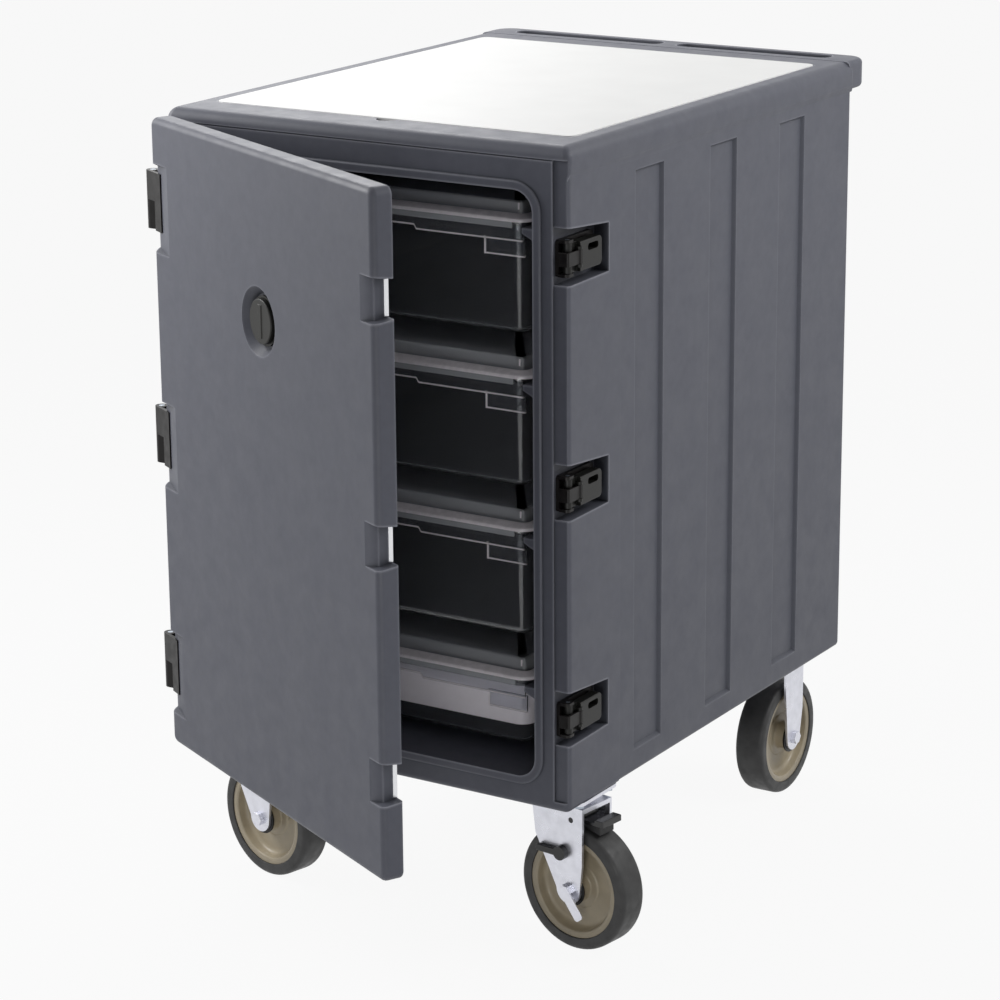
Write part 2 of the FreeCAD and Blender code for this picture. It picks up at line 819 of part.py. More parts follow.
def latch_hook(z):
    """Draw hook with its own cross pin, carried by the lever's lugs."""
    half = hook_width / 2
    x0 = hook_pivot.x - hook_thickness / 2
    x1 = hook_pivot.x + hook_thickness / 2
    tip_y = front_y + hook_tip_back
    strap = box(x0, x1, tip_y, hook_pivot.y, z - half, z + half)
    tip = box(x1 - hook_tip_drop, x1, tip_y, tip_y + hook_thickness, z - half, z + half)
    eye = rod(V(hook_pivot.x, hook_pivot.y, z - half), Z_AXIS, hook_knuckle - 0.5, hook_width)
    reach = half + hook_clear + hook_lug
    pin = rod(V(hook_pivot.x, hook_pivot.y, z - reach), Z_AXIS, hook_pin_radius, 2 * reach)
    hook = joined([strap, tip, eye])
    nose = [e for e in hook.Edges if runs_along(e, Z_AXIS) and e.CenterOfMass.y < tip_y + 0.1
            and e.CenterOfMass.x > x1 - 0.1]
    return joined([hook.makeFillet(hook_nose_radius, nose), pin])


def keeper_middle():
    """Y of the middle of the keepers, with the door shut."""
    return door_back_y - keeper_set_back - keeper_depth / 2


def keeper_studs(z):
    """Heights of the studs of one keeper."""
    reach = latch_notch_height / 2 - keeper_end_gap - keeper_stud_inset
    return [z - reach, z + reach]


def latch_keeper(z):
    """Steel strip that the hook pulls on, held in the door's edge by two studs."""
    half = latch_notch_height / 2 - keeper_end_gap
    y0 = keeper_middle() - keeper_depth / 2
    strip = box(keeper_seat, keeper_seat + keeper_thickness, y0, y0 + keeper_depth, z - half, z + half)
    studs = [rod(V(keeper_seat + 1, keeper_middle(), h), X_AXIS * -1, keeper_stud_radius,
                 keeper_stud_length + 1) for h in keeper_studs(z)]
    return joined([strip] + studs)


# Door, modelled shut and then swung open

def notch_ends(low, high, slope, depth, x0, x1):
    """Block between two heights, which flares by the slope towards the door's face."""
    mouth = door_face_y - 1
    floor = door_face_y + depth
    outline = [(mouth, low - slope), (floor, low), (floor, high), (mouth, high + slope)]
    return prism_x(outline, x0, x1)


def door_hinge_notches():
    """Ramps sunk into the door's face at its hinge edge, with sloping ends."""
    mouth = door_face_y - 1
    outer_x = door_left - 1
    inner_x = door_left + hinge_notch_width
    deep = door_face_y + hinge_notch_depth * (inner_x - outer_x) / hinge_notch_width
    plan = [(outer_x, deep), (inner_x, door_face_y), (inner_x, mouth), (outer_x, mouth)]
    ramp = prism([V(x, y, door_foot) for x, y in plan], V(0, 0, door_top - door_foot))
    cutters = []
    for z in hinge_levels():
        low = z - hinge_height / 2 - hinge_notch_below
        high = z + hinge_height / 2 + hinge_notch_above
        ends = notch_ends(low, high, hinge_notch_slope, 2 * hinge_notch_depth, outer_x, inner_x)
        cutters.append(ends.common(ramp))
    return cutters


def door_latch_notches():
    """Notches through the door's free edge, with a ramp that leads to them in the face."""
    mouth = door_face_y - 1
    back = door_back_y + 1
    outer_x = door_right + 1
    inner_x = door_right - latch_notch_width
    plan = [(inner_x, mouth), (inner_x, door_face_y), (keeper_seat, door_face_y + latch_notch_depth),
            (keeper_seat, back), (outer_x, back), (outer_x, mouth)]
    ramp = prism([V(x, y, door_foot) for x, y in plan], V(0, 0, door_top - door_foot))
    half = latch_notch_height / 2
    depth = back - door_face_y
    return [notch_ends(z - half, z + half, latch_notch_slope, depth, inner_x, outer_x).common(ramp)
            for z in latch_levels()]


def seal_ring(depth, width, y_deep):
    """Rectangular ring that lines up with the lip round the opening."""
    spare = (width - lip_width) / 2
    ring = box(-cavity_half - lip_width - spare, cavity_half + lip_width + spare, y_deep, y_deep + depth,
               cavity_floor - lip_width - spare, cavity_roof + lip_width + spare)
    ring = rounded(ring, Y_AXIS, cavity_radius + lip_width)
    hole = box(-cavity_half + spare, cavity_half - spare, y_deep - 1, y_deep + depth + 1,
               cavity_floor + spare, cavity_roof - spare)
    return ring.cut(rounded(hole, Y_AXIS, cavity_radius))


def door_gasket():
    """Rubber seal in the door's groove, that meets the lip."""
    depth = seal_groove_depth - (lip_height - door_gap) - seal_squeeze_gap
    return seal_ring(depth, seal_groove_width, door_back_y - seal_groove_depth)


def vent_dish():
    """Round dish in the door's face for the vent."""
    cone = Part.makeCone(vent_dish_radius + 1, vent_dish_floor, vent_dish_depth + 1,
                         V(door_middle, door_face_y - 1, vent_z), Y_AXIS)
    return cone


def vent_passage():
    """Hole right through the door for the vent's tube."""
    return rod(V(door_middle, door_face_y, vent_z), Y_AXIS, vent_tube_radius, door_edge + 2 * plug_depth)


def door_core():
    """Foam core of the door, inside its skin and clear of the notches, groove and vent."""
    y0 = door_face_y + skin
    y1 = front_y + plug_depth - skin
    half = cavity_half - plug_gap - skin
    plug = box(-half, half, y0, y1, cavity_floor + plug_gap + skin, cavity_roof - plug_gap - skin)
    plug = rounded(plug, Y_AXIS, cavity_radius)
    edge = 2 * skin
    flange = box(door_left + edge, door_right - edge, y0, door_back_y - seal_groove_depth - skin,
                 door_foot + edge, door_top - edge)
    core = joined([plug, flange])
    above = hinge_height / 2 + hinge_notch_above + hinge_notch_slope + skin
    below = hinge_height / 2 + hinge_notch_below + hinge_notch_slope + skin
    cutters = [box(door_left, door_left + hinge_notch_width + skin, door_face_y,
                   door_face_y + hinge_notch_depth + skin, z - below, z + above) for z in hinge_levels()]
    tall = latch_notch_height / 2 + latch_notch_slope + skin
    cutters += [box(door_right - latch_notch_width - skin, door_right, door_face_y, door_back_y,
                    z - tall, z + tall) for z in latch_levels()]
    dish = rod(V(door_middle, door_face_y, vent_z), Y_AXIS, vent_dish_radius + skin, vent_dish_depth + skin)
    tube = rod(V(door_middle, door_face_y, vent_z), Y_AXIS, vent_tube_radius + skin, 2 * door_edge)
    return core.cut(cutters + [dish, tube] + door_screw_holes())


def door_shell(core):
    """Moulded door skin with a plug on its inside, round its foam."""
    slab = box(door_left, door_right, door_face_y, door_back_y, door_foot, door_top)
    slab = rounded(slab, Y_AXIS, door_corner)
    face_rim = [e for e in slab.Edges if e.BoundBox.YMax < door_face_y + 0.1]
    slab = slab.makeFillet(door_face_radius, face_rim)
    back_rim = [e for e in slab.Edges if e.BoundBox.YMin > door_back_y - 0.1]
    slab = slab.makeFillet(door_back_radius, back_rim)
    half = cavity_half - plug_gap
    plug = rounded(box(-half, half, door_back_y - 1, front_y + plug_depth, cavity_floor + plug_gap,
                       cavity_roof - plug_gap), Y_AXIS, cavity_radius)
    plug_rim = [e for e in plug.Edges if e.BoundBox.YMin > front_y + plug_depth - 0.1]
    shell = joined([slab, plug.makeFillet(plug_depth / 4, plug_rim)])
    groove = seal_ring(seal_groove_depth + 1, seal_groove_width, door_back_y - seal_groove_depth)
    shell = shell.cut(door_hinge_notches() + door_latch_notches() + [groove, vent_dish(), vent_passage()])
    return shell.cut(door_screw_holes()).cut(core)


def vent_seat():
    """Vent tube through the door with a flange on the dish's floor."""
    floor = door_face_y + vent_dish_depth
    flange = rod(V(door_middle, floor, vent_z), Y_AXIS * -1, vent_seat_radius, vent_seat_height)
    length = front_y + plug_depth - floor
    tube = rod(V(door_middle, floor, vent_z), Y_AXIS, vent_tube_radius, length)
    body = joined([flange, tube])
    front = V(door_middle, floor - vent_seat_height, vent_z)
    bore = rod(front, Y_AXIS, vent_bore, vent_seat_height + length)
    boss = rod(front, Y_AXIS, vent_stem_radius + vent_boss_wall, vent_stem_length)
    reach = vent_bore + 1
    bridge = box(door_middle - reach, door_middle + reach, front.y, front.y + vent_stem_length,
                 vent_z - vent_bridge / 2, vent_z + vent_bridge / 2)
    stem_hole = rod(front, Y_AXIS, vent_stem_radius + vent_stem_gap, vent_stem_length + 1)
    return joined([body.cut(bore), boss, bridge]).cut(stem_hole)


def vent_cap():
    """Cap that turns on its stem in front of the vent's seat."""
    back = door_face_y + vent_dish_depth - vent_seat_height - vent_cap_gap
    disc = rod(V(door_middle, back, vent_z), Y_AXIS * -1, vent_cap_radius, vent_cap_thickness)
    rim = [e for e in disc.Edges if e.BoundBox.YMax < back - vent_cap_thickness + 0.1]
    disc = disc.makeFillet(vent_cap_thickness / 3, rim)
    face = back - vent_cap_thickness
    grip = box(door_middle - vent_grip_width / 2, door_middle + vent_grip_width / 2,
               face - vent_grip_height, face + 1,
               vent_z - vent_cap_radius + vent_grip_width, vent_z + vent_cap_radius - vent_grip_width)
    stem = rod(V(door_middle, back, vent_z), Y_AXIS, vent_stem_radius, vent_stem_length)
    return joined([disc, grip, stem])


# Food boxes, lids and board

def food_box(index):
    """Clear tub that hangs on its rim."""
    rim_under = rail_tops[index]
    rim_top = rim_under + box_flange_thickness
    foot = rim_top - box_heights[index]
    y0 = front_y + box_front_gap
    y1 = y0 + box_length
    half = box_width / 2
    brim = rounded(box(-half, half, y0, y1, rim_under, rim_top), Z_AXIS, box_radius)
    draft = box_draft * box_heights[index] / max(box_heights)
    body_half = half - box_flange
    tub = tapered(body_half, y0 + box_flange, y1 - box_flange, foot, rim_top, draft, box_radius)
    room = tapered(body_half - box_wall, y0 + box_flange + box_wall, y1 - box_flange - box_wall,
                   foot + box_wall, rim_top + 1, draft, box_radius - box_wall)
    return joined([brim, tub]).cut(room)


def box_lid(index):
    """Lid with a raised panel and a narrow skirt round the box's rim at its front and back."""
    under = rail_tops[index] + box_flange_thickness
    y0 = front_y + box_front_gap
    y1 = y0 + box_length
    half = box_width / 2
    plate = rounded(box(-half, half, y0, y1, under, under + lid_plate), Z_AXIS, box_radius)
    rise = tapered_up(half - lid_inset, y0 + lid_inset, y1 - lid_inset, under, under + lid_plate + lid_rise)
    room = tapered_up(half - lid_inset - lid_plate, y0 + lid_inset + lid_plate, y1 - lid_inset - lid_plate,
                      under - 1, under + lid_rise)
    skirts = []
    reach = half - box_radius
    for edge, side in ((y0, -1), (y1, 1)):
        near = edge + side * lid_skirt_gap
        far = near + side * lid_skirt_wall
        top = under + lid_plate
        skirts.append(box(-reach, reach, min(near, far), max(near, far), under - lid_skirt, top))
        skirts.append(box(-reach, reach, min(edge, far), max(edge, far), under, top))
    return joined([plate, rise] + skirts).cut(room)


def tapered_up(half_x, y0, y1, z0, z1):
    """Panel that is a little smaller at its top."""
    foot = rounded_rectangle(half_x, y0, y1, z0, box_radius - lid_plate)
    head = rounded_rectangle(half_x - lid_lean, y0 + lid_lean, y1 - lid_lean, z1, box_radius - lid_plate)
    return Part.makeLoft([foot, head], True, True)


def cutting_board():
    """White board let into the top."""
    half = half_width - board_side_margin
    board = box(-half, half, front_y + board_front_margin, rear_y - board_rear_margin,
                board_floor, board_floor + board_thickness)
    board = rounded(board, Z_AXIS, board_radius)
    upper = [e for e in board.Edges if e.BoundBox.ZMin > board_floor + board_thickness - 0.1]
    return board.makeFillet(board_rise, upper)


# Casters, modelled with the swivel axis on Z through the origin and the axle along Y

def spun(outline, x):
    """Solid of revolution about the axle from (radius, y) corners."""
    points = [V(x + r, y, wheel_radius) for r, y in outline]
    face = Part.Face(Part.makePolygon(points + [points[0]]))
    return face.revolve(V(x, 0, wheel_radius), Y_AXIS, 360)


def wheel_core(x):
    """Hard wheel centre: hub, dished web and rim."""
    hub, web, rim = hub_width / 2, wheel_web / 2, wheel_rim_width / 2
    near = [(bearing_radius, hub), (hub_radius - 2, hub), (hub_radius, web + 3), (wheel_rim_inner - 4, web),
            (wheel_rim_inner, rim), (wheel_rim_radius, rim)]
    return spun(near + [(r, -y) for r, y in reversed(near)], x)


def tyre(x):
    """Solid tyre with rounded shoulders."""
    half = tyre_width / 2
    near = [(wheel_rim_radius, half), (wheel_radius, half)]
    ring = spun(near + [(r, -y) for r, y in reversed(near)], x)
    shoulders = [e for e in ring.Edges if isinstance(e.Curve, Part.Circle)
                 and abs(e.Curve.Radius - wheel_radius) < 0.1]
    return ring.makeFillet(tyre_crown, shoulders)


def hub_bearing(x):
    """Nylon bush in the hub, with a flange at each end that keeps thread out of it."""
    half = hub_width / 2
    end = half + bearing_flange
    bore = axle_radius + axle_running_gap
    near = [(bore, end), (bearing_flange_radius, end), (bearing_flange_radius, half), (bearing_radius, half)]
    return spun(near + [(r, -y) for r, y in reversed(near)], x)


def axle(x):
    """Axle bolt with its head and nut outside the fork legs."""
    side = fork_gap + fork_sheet
    shank = rod(V(x, -side, wheel_radius), Y_AXIS, axle_radius, 2 * side)
    ends = []
    for y, axis in ((-side, Y_AXIS * -1), (side, Y_AXIS)):
        nut = hexagon(V(0, 0, 0), nut_radius, nut_height)
        nut.rotate(V(0, 0, 0), X_AXIS, 90 if axis.y < 0 else -90)
        nut.translate(V(x, y, wheel_radius))
        ends.append(nut)
    return joined([shank] + ends)


def leg_outline(x, top, front, back):
    """Flat outline of a fork leg in the XZ plane, with a round eye at the axle."""
    z = wheel_radius
    slant = (x - fork_eye + front) * leg_slant
    points = [V(-front, 0, top), V(back, 0, top), V(max(x + fork_eye, back - 1), 0, z + 2 * fork_eye),
              V(x + fork_eye, 0, z), V(x, 0, z - fork_eye), V(x - fork_eye, 0, z),
              V(-front + slant, 0, top - (top - z) * leg_shoulder)]
    lines = [Part.makeLine(a, b) for a, b in zip(points[:3], points[1:4])]
    lines.append(Part.Arc(points[3], points[4], points[5]).toShape())
    lines.append(Part.makeLine(points[5], points[6]))
    lines.append(Part.makeLine(points[6], points[0]))
    return Part.Face(Part.Wire(lines))


def fork_legs(x, top, front, back):
    """Two upright fork legs with holes for the axle."""
    legs = []
    for y in (-fork_gap - fork_sheet, fork_gap):
        leg = leg_outline(x, top, front, back).extrude(V(0, fork_sheet, 0))
        leg.translate(V(0, y, 0))
        legs.append(leg.cut(rod(V(x, y - 1, wheel_radius), Y_AXIS, axle_radius, fork_sheet + 2)))
    return legs


def caster_top():
    """Height of the underside of a caster's plate."""
    return bottom_z - plate_thickness


def crown_top():
    """Height of the top of a swivel fork."""
    return caster_top() - race_height - race_gap


def swivel_fork():
    """Fork that turns under the plate, with a crown and two legs."""
    top = crown_top()
    under = top - crown_thickness
    crown = rod(V(0, 0, under), Z_AXIS, crown_radius, crown_thickness)
    bridge = box(-fork_top_front, fork_top_back, -fork_gap - fork_sheet, fork_gap + fork_sheet, under, top)
    fork = joined([crown, bridge] + fork_legs(swivel_lead, top, fork_top_front, fork_top_back))
    return fork.cut(rod(V(0, 0, under - 1), Z_AXIS, kingpin_radius + kingpin_gap, 2 * crown_thickness))


def caster_plate(with_race):
    """Top plate with its bolt holes, and the ball race under a swivel caster."""
    low = caster_top()
    plate = box(-plate_length / 2, plate_length / 2, -plate_width / 2, plate_width / 2, low, bottom_z)
    plate = rounded(plate, Z_AXIS, plate_bolt_margin - 2)
    plate = plate.cut([rod(V(x, y, low - 1), Z_AXIS, caster_bolt_radius, plate_thickness + 2)
                       for x, y in plate_bolt_places(0, 0)])
    if not with_race:
        return plate
    return plate.cut(rod(V(0, 0, low - 1), Z_AXIS, kingpin_radius, plate_thickness + 2))


def swivel_race():
    """Ring between a caster's plate and its fork."""
    low = caster_top() - race_height
    return rod(V(0, 0, low), Z_AXIS, race_radius, race_height).cut(
        rod(V(0, 0, low - 1), Z_AXIS, race_bore, race_height + 2))


def kingpin():
    """Bolt that holds a swivel fork to its plate."""
    under = crown_top() - crown_thickness
    shank = rod(V(0, 0, under - 1), Z_AXIS, kingpin_radius, bottom_z - under + 1)
    low = under - race_gap - kingpin_head_height
    head = rod(V(0, 0, low), Z_AXIS, kingpin_head_radius, kingpin_head_height)
    return joined([shank, head])


def rigid_fork():
    """Plate and legs of a fixed caster in one piece, turned to roll along Y."""
    legs = fork_legs(0.0, caster_top() + 1, rigid_leg_half, rigid_leg_half)
    return joined([caster_plate(False)] + [turned(leg, 90, V(0, 0, 0)) for leg in legs])


def caster_bolts():
    """Hex bolts that hold the caster plates to the cabinet."""
    low = caster_top()
    bolts = []
    for x, y in caster_places():
        for bx, by in plate_bolt_places(x, y):
            foot = V(bx, by, low - caster_bolt_head_height)
            head = hexagon(foot, caster_bolt_head, caster_bolt_head_height)
            grip = plate_thickness + skin + backing_thickness + caster_bolt_grip
            bolts.append(joined([head, rod(V(bx, by, low), Z_AXIS, caster_bolt_radius, grip)]))
    return bolts


# Brake of the front right caster, in the same place as its fork

def pedal_pivot():
    """Point on the pedal's axis."""
    return V(swivel_lead + pedal_pivot_back, 0, 2 * wheel_radius + pedal_lift)


def brake_pin_holes():
    """Holes in the fork legs for the pedal's and the cam's pins."""
    side = fork_gap + fork_sheet + 1
    p = pedal_pivot()
    c = cam_centre()
    return [rod(V(p.x, -side, p.z), Y_AXIS, pedal_pin_radius + pedal_pin_gap, 2 * side),
            rod(V(c.x, -side, c.z), Y_AXIS, cam_pin_radius + pedal_pin_gap, fork_sheet + 2)]


def brake_pedal():
    """Foot pedal with its cross pin, above the tyre."""
    p = pedal_pivot()
    side = fork_gap + fork_sheet
    pin = rod(V(p.x, -side, p.z), Y_AXIS, pedal_pin_radius, 2 * side)
    boss = pedal_pin_radius + pedal_thickness / 2
    hub = rod(V(p.x, -pedal_half_width, p.z), Y_AXIS, boss, 2 * pedal_half_width)
    plate = box(p.x, p.x + pedal_reach, -pedal_half_width, pedal_half_width, p.z - pedal_thickness, p.z)
    tread_end = p.x + pedal_reach
    tread = box(tread_end - pedal_reach / 3, tread_end, -pedal_half_width, pedal_half_width,
                p.z - pedal_thickness, p.z + pedal_tread_height)
    tread = rounded(tread, Y_AXIS, pedal_tread_height / 2)
    return joined([pin, hub, plate, tread])


def brake_shoe():
    """Block under the pedal that presses on the tyre."""
    p = pedal_pivot()
    top = p.z - pedal_thickness
    x0 = p.x + shoe_start
    x1 = x0 + shoe_length
    outline = [(x0, top), (x0, top - shoe_height), (x1, top - shoe_height - shoe_slope), (x1, top)]
    return prism_y(outline, -pedal_half_width + pedal_thickness, pedal_half_width - pedal_thickness)


def cam_centre():
    """Point on the cam's axis."""
    return V(swivel_lead - cam_set_back, 0, wheel_radius + cam_height)


def brake_cam():
    """Small locking lever on the outside of the fork."""
    c = cam_centre()
    face = -fork_gap - fork_sheet - race_gap
    disc = rod(V(c.x, face - cam_thickness, c.z), Y_AXIS, cam_radius, cam_thickness)
    half = cam_arm_width / 2
    arm = box(c.x - cam_arm, c.x, face - cam_thickness, face - cam_arm_gap, c.z - half, c.z + half)
    arm = rounded(arm, Y_AXIS, cam_arm_width / 3)
    pin = rod(V(c.x, face - 1, c.z), Y_AXIS, cam_pin_radius, fork_sheet + race_gap + 1)
    return joined([disc, arm, pin])


def brake_strap():
    """Steel locking tab on the braked axle, outside the fork."""
    face = -fork_gap - fork_sheet - nut_height
    tab = box(swivel_lead - strap_width / 2, swivel_lead + strap_length, face - strap_thickness, face,
              wheel_radius - strap_width / 2, wheel_radius + strap_width / 2)
    tab = rounded(tab, Y_AXIS, strap_width / 3)
    return turned(tab, strap_angle, V(swivel_lead, 0, wheel_radius), Y_AXIS)


def placed_caster(shape, x, y, angle):
    """Shape from the caster's own frame at its place under the cabinet."""
    return moved(turned(shape, angle, V(0, 0, 0)), x, y)


def front_caster(side):
    """Named shapes of one swivel caster."""
    x = front_caster_x if side == "right" else -front_caster_x
    angle = right_swivel_angle if side == "right" else left_swivel_angle
    fork = swivel_fork()
    bolt = axle(swivel_lead)
    if side == "right":
        fork = fork.cut(brake_pin_holes())
        bolt = joined([bolt, brake_strap()])
    shapes = {"fork": fork, "axle": bolt, "wheel": wheel_core(swivel_lead), "tyre": tyre(swivel_lead),
              "bearing": hub_bearing(swivel_lead)}
    if side == "right":
        shapes.update({"brake_pedal": brake_pedal(), "brake_shoe": brake_shoe(), "brake_cam": brake_cam()})
    return {f"front_{side}_{name}": placed_caster(shape, x, front_caster_y, angle)
            for name, shape in shapes.items()}


def rear_caster(side):
    """Named shapes of one fixed caster, rolling along Y."""
    x = rear_caster_x if side == "right" else -rear_caster_x
    rolling = {"axle": axle(0.0), "wheel": wheel_core(0.0), "tyre": tyre(0.0), "bearing": hub_bearing(0.0)}
    shapes = {name: turned(shape, 90, V(0, 0, 0)) for name, shape in rolling.items()}
    shapes["fork"] = rigid_fork()
    return {f"rear_{side}_{name}": moved(shape, x, rear_caster_y) for name, shape in shapes.items()}


def all_parts():
    """Every named node of the cart."""
    core = foam_walls()
    plates = caster_backing_plates()
    swivel_places = caster_places()[:2]
    nodes = {
        "cabinet_shell": cabinet_shell(core),
        "cabinet_foam": cabinet_foam(core, plates),
        "box_rails": rails(),
        "cabinet_hinge_leaves": [cabinet_leaf(z) for z in hinge_levels()],
        "hinge_pins": [hinge_pin(z) for z in hinge_levels()],
        "cabinet_screws": cabinet_screws(),
        "latch_bases": [latch_base(z) for z in latch_levels()],
        "latch_pivot_pins": [latch_pin(z) for z in latch_levels()],
        "caster_backing_plates": plates,
        "front_caster_plates": [moved(caster_plate(True), x, y) for x, y in swivel_places],
        "swivel_races": [moved(swivel_race(), x, y) for x, y in swivel_places],
        "kingpins": [moved(kingpin(), x, y) for x, y in swivel_places],
        "caster_bolts": caster_bolts(),
        "cutting_board": cutting_board(),
    }
    for i in range(level_count):
        nodes[f"food_box_{i + 1}"] = food_box(i)
        nodes[f"box_lid_{i + 1}"] = box_lid(i)
    for name, z in zip(latch_names, latch_levels()):
        nodes[f"latch_lever_{name}"] = latch_lever(z)
        nodes[f"latch_hook_{name}"] = latch_hook(z)
    core = door_core()
    door = {
        "door_shell": door_shell(core),
        "door_foam": core,
        "door_gasket": door_gasket(),
        "door_hinge_leaves": [door_leaf(z) for z in hinge_levels()],
        "door_screws": door_screws(),
        "latch_keepers": [latch_keeper(z) for z in latch_levels()],
        "vent_seat": vent_seat(),
        "vent_cap": vent_cap(),
    }
    for name, shape in door.items():
        solids = shape if isinstance(shape, list) else [shape]
        swung = [turned(solid, -door_open_angle, pivot) for solid in solids]
        nodes[name] = swung if isinstance(shape, list) else swung[0]
    for side in ("left", "right"):
        nodes.update(front_caster(side))
        nodes.update(rear_caster(side))
    return nodes


def main():
    """Write one file per node."""
    os.makedirs("parts", exist_ok=True)
    for name, shape in all_parts().items():
        solid = Part.makeCompound(shape) if isinstance(shape, list) else shape
        solid.exportStep(f"parts/{name}.step")


main()
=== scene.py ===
import json
import math

import bmesh
import bpy
import numpy as np
from bpy.props import FloatProperty, FloatVectorProperty, IntProperty, PointerProperty
from mathutils import Matrix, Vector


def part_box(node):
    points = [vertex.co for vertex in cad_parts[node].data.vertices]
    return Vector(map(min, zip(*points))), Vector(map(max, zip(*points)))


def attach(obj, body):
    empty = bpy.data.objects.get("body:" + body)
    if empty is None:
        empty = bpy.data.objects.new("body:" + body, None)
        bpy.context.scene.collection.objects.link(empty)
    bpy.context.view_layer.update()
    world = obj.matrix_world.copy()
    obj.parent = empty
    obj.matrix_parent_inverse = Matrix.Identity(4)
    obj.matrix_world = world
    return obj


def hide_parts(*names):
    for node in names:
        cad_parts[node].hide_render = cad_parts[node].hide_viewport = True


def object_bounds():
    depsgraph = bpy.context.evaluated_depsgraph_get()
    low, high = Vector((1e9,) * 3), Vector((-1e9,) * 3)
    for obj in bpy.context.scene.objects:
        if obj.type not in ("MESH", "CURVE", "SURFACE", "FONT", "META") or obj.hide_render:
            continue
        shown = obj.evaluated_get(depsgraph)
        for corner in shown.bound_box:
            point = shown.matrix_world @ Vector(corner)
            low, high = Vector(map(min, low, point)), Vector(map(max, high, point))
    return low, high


bl_info = {
    "name": "Food storage cart",
    "version": (1, 0, 0),
    "blender": (4, 5, 0),
    "location": "3D View > Sidebar > Cart",
    "description": "Dresses the food storage cart: skins, boxes, latches, casters and studio",
    "category": "Object",
}

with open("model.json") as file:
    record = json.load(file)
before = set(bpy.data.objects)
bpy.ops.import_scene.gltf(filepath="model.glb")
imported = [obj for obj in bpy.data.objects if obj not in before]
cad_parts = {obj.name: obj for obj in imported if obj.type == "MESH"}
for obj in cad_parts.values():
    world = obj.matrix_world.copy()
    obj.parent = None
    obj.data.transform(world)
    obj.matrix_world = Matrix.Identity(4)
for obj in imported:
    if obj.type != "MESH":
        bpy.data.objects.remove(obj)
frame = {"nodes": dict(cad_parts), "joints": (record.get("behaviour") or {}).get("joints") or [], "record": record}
cad_low, cad_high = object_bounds()

LEVELS = (1, 2, 3, 4)
# The lowest box carries a white band of painted reflection.
REFLECTION_LEVEL = 4
LATCHES = ("top", "middle", "bottom")
CASTERS = ("front_left", "front_right", "rear_left", "rear_right")
MM = 0.001
DEEP_BOX = 152 * MM
FLAT_LIMIT = math.radians(0.6)
SHARP_LIMIT = math.radians(32)
CREASE_LIMIT = math.radians(40)


def shade(red, green, blue):
    """Linear colour of a display colour given in steps of 0 to 255."""
    values = np.array([red, green, blue]) / 255
    linear = np.where(values > 0.04045, ((values + 0.055) / 1.055) ** 2.4, values / 12.92)
    return tuple(float(v) for v in linear)


def colour_setting(name, description, *steps):
    """Colour property with a display colour as its default."""
    return FloatVectorProperty(name=name, description=description, subtype="COLOR", size=3,
                               min=0.0, max=1.0, default=shade(*steps))


def length_setting(name, description, metres):
    """Length property in metres."""
    return FloatProperty(name=name, description=description, unit="LENGTH", subtype="DISTANCE",
                         min=0.0, precision=4, default=metres)


def place_setting(name, description, *metres):
    """Place property in metres."""
    return FloatVectorProperty(name=name, description=description, subtype="TRANSLATION", size=3,
                               default=metres)


def angle_setting(name, description, degrees):
    """Angle property, given in degrees."""
    return FloatProperty(name=name, description=description, subtype="ANGLE", default=math.radians(degrees))


class CartFinishes(bpy.types.PropertyGroup):
    """Colours of the cart's materials."""

    grey_plastic: colour_setting("Grey plastic", "Moulded skins of cabinet and door", 95, 97, 107)
    # Painted shade: colour laid on the skins in their recesses.
    recess_shade_grey: colour_setting("Recesses", "Skins in recesses", 40, 43, 48)
    # Painted highlight: colour laid on the skins along their edges.
    edge_highlight_grey: colour_setting("Rubbed edges", "Skins along their edges", 178, 179, 189)
    board_white: colour_setting("Board", "Cutting board", 238, 238, 237)
    clear_tint: colour_setting("Clear plastic", "Tint of the food boxes", 236, 238, 242)
    # Painted reflection: white of the band round the lowest box, for the bright floor mirrored in it.
    painted_reflection_white: colour_setting("Frosted band", "Frosted band round the lowest box", 250, 245, 251)
    # Painted highlight: white on the box and lid edges, standing in for glints on clear plastic.
    painted_highlight_white: colour_setting("Box edges", "Milky edges of the food boxes and lids", 244, 238, 242)
    nylon_black: colour_setting("Black nylon", "Hinges, latches and bushes", 15, 12, 12)
    lever_grey: colour_setting("Latch levers", "Levers of the draw latches", 18, 18, 16)
    zinc_plate: colour_setting("Zinc plate", "Forks, plates and axles", 222, 223, 231)
    keeper_steel: colour_setting("Keeper steel", "Latch keepers", 232, 233, 236)
    screw_steel: colour_setting("Screw steel", "Screws and bolts", 176, 184, 194)
    wheel_beige: colour_setting("Wheel core", "Hard centres of the wheels", 186, 174, 150)
    tyre_grey: colour_setting("Tyre", "Tyres", 55, 55, 55)
    seal_black: colour_setting("Seal", "Door seal and brake shoe", 30, 30, 31)
    vent_olive: colour_setting("Vent", "Vent cap and seat", 30, 30, 27)
    brake_black: colour_setting("Brake lever", "Brake lever", 27, 27, 28)
    foam_cream: colour_setting("Foam", "Foam inside the walls", 226, 214, 176)


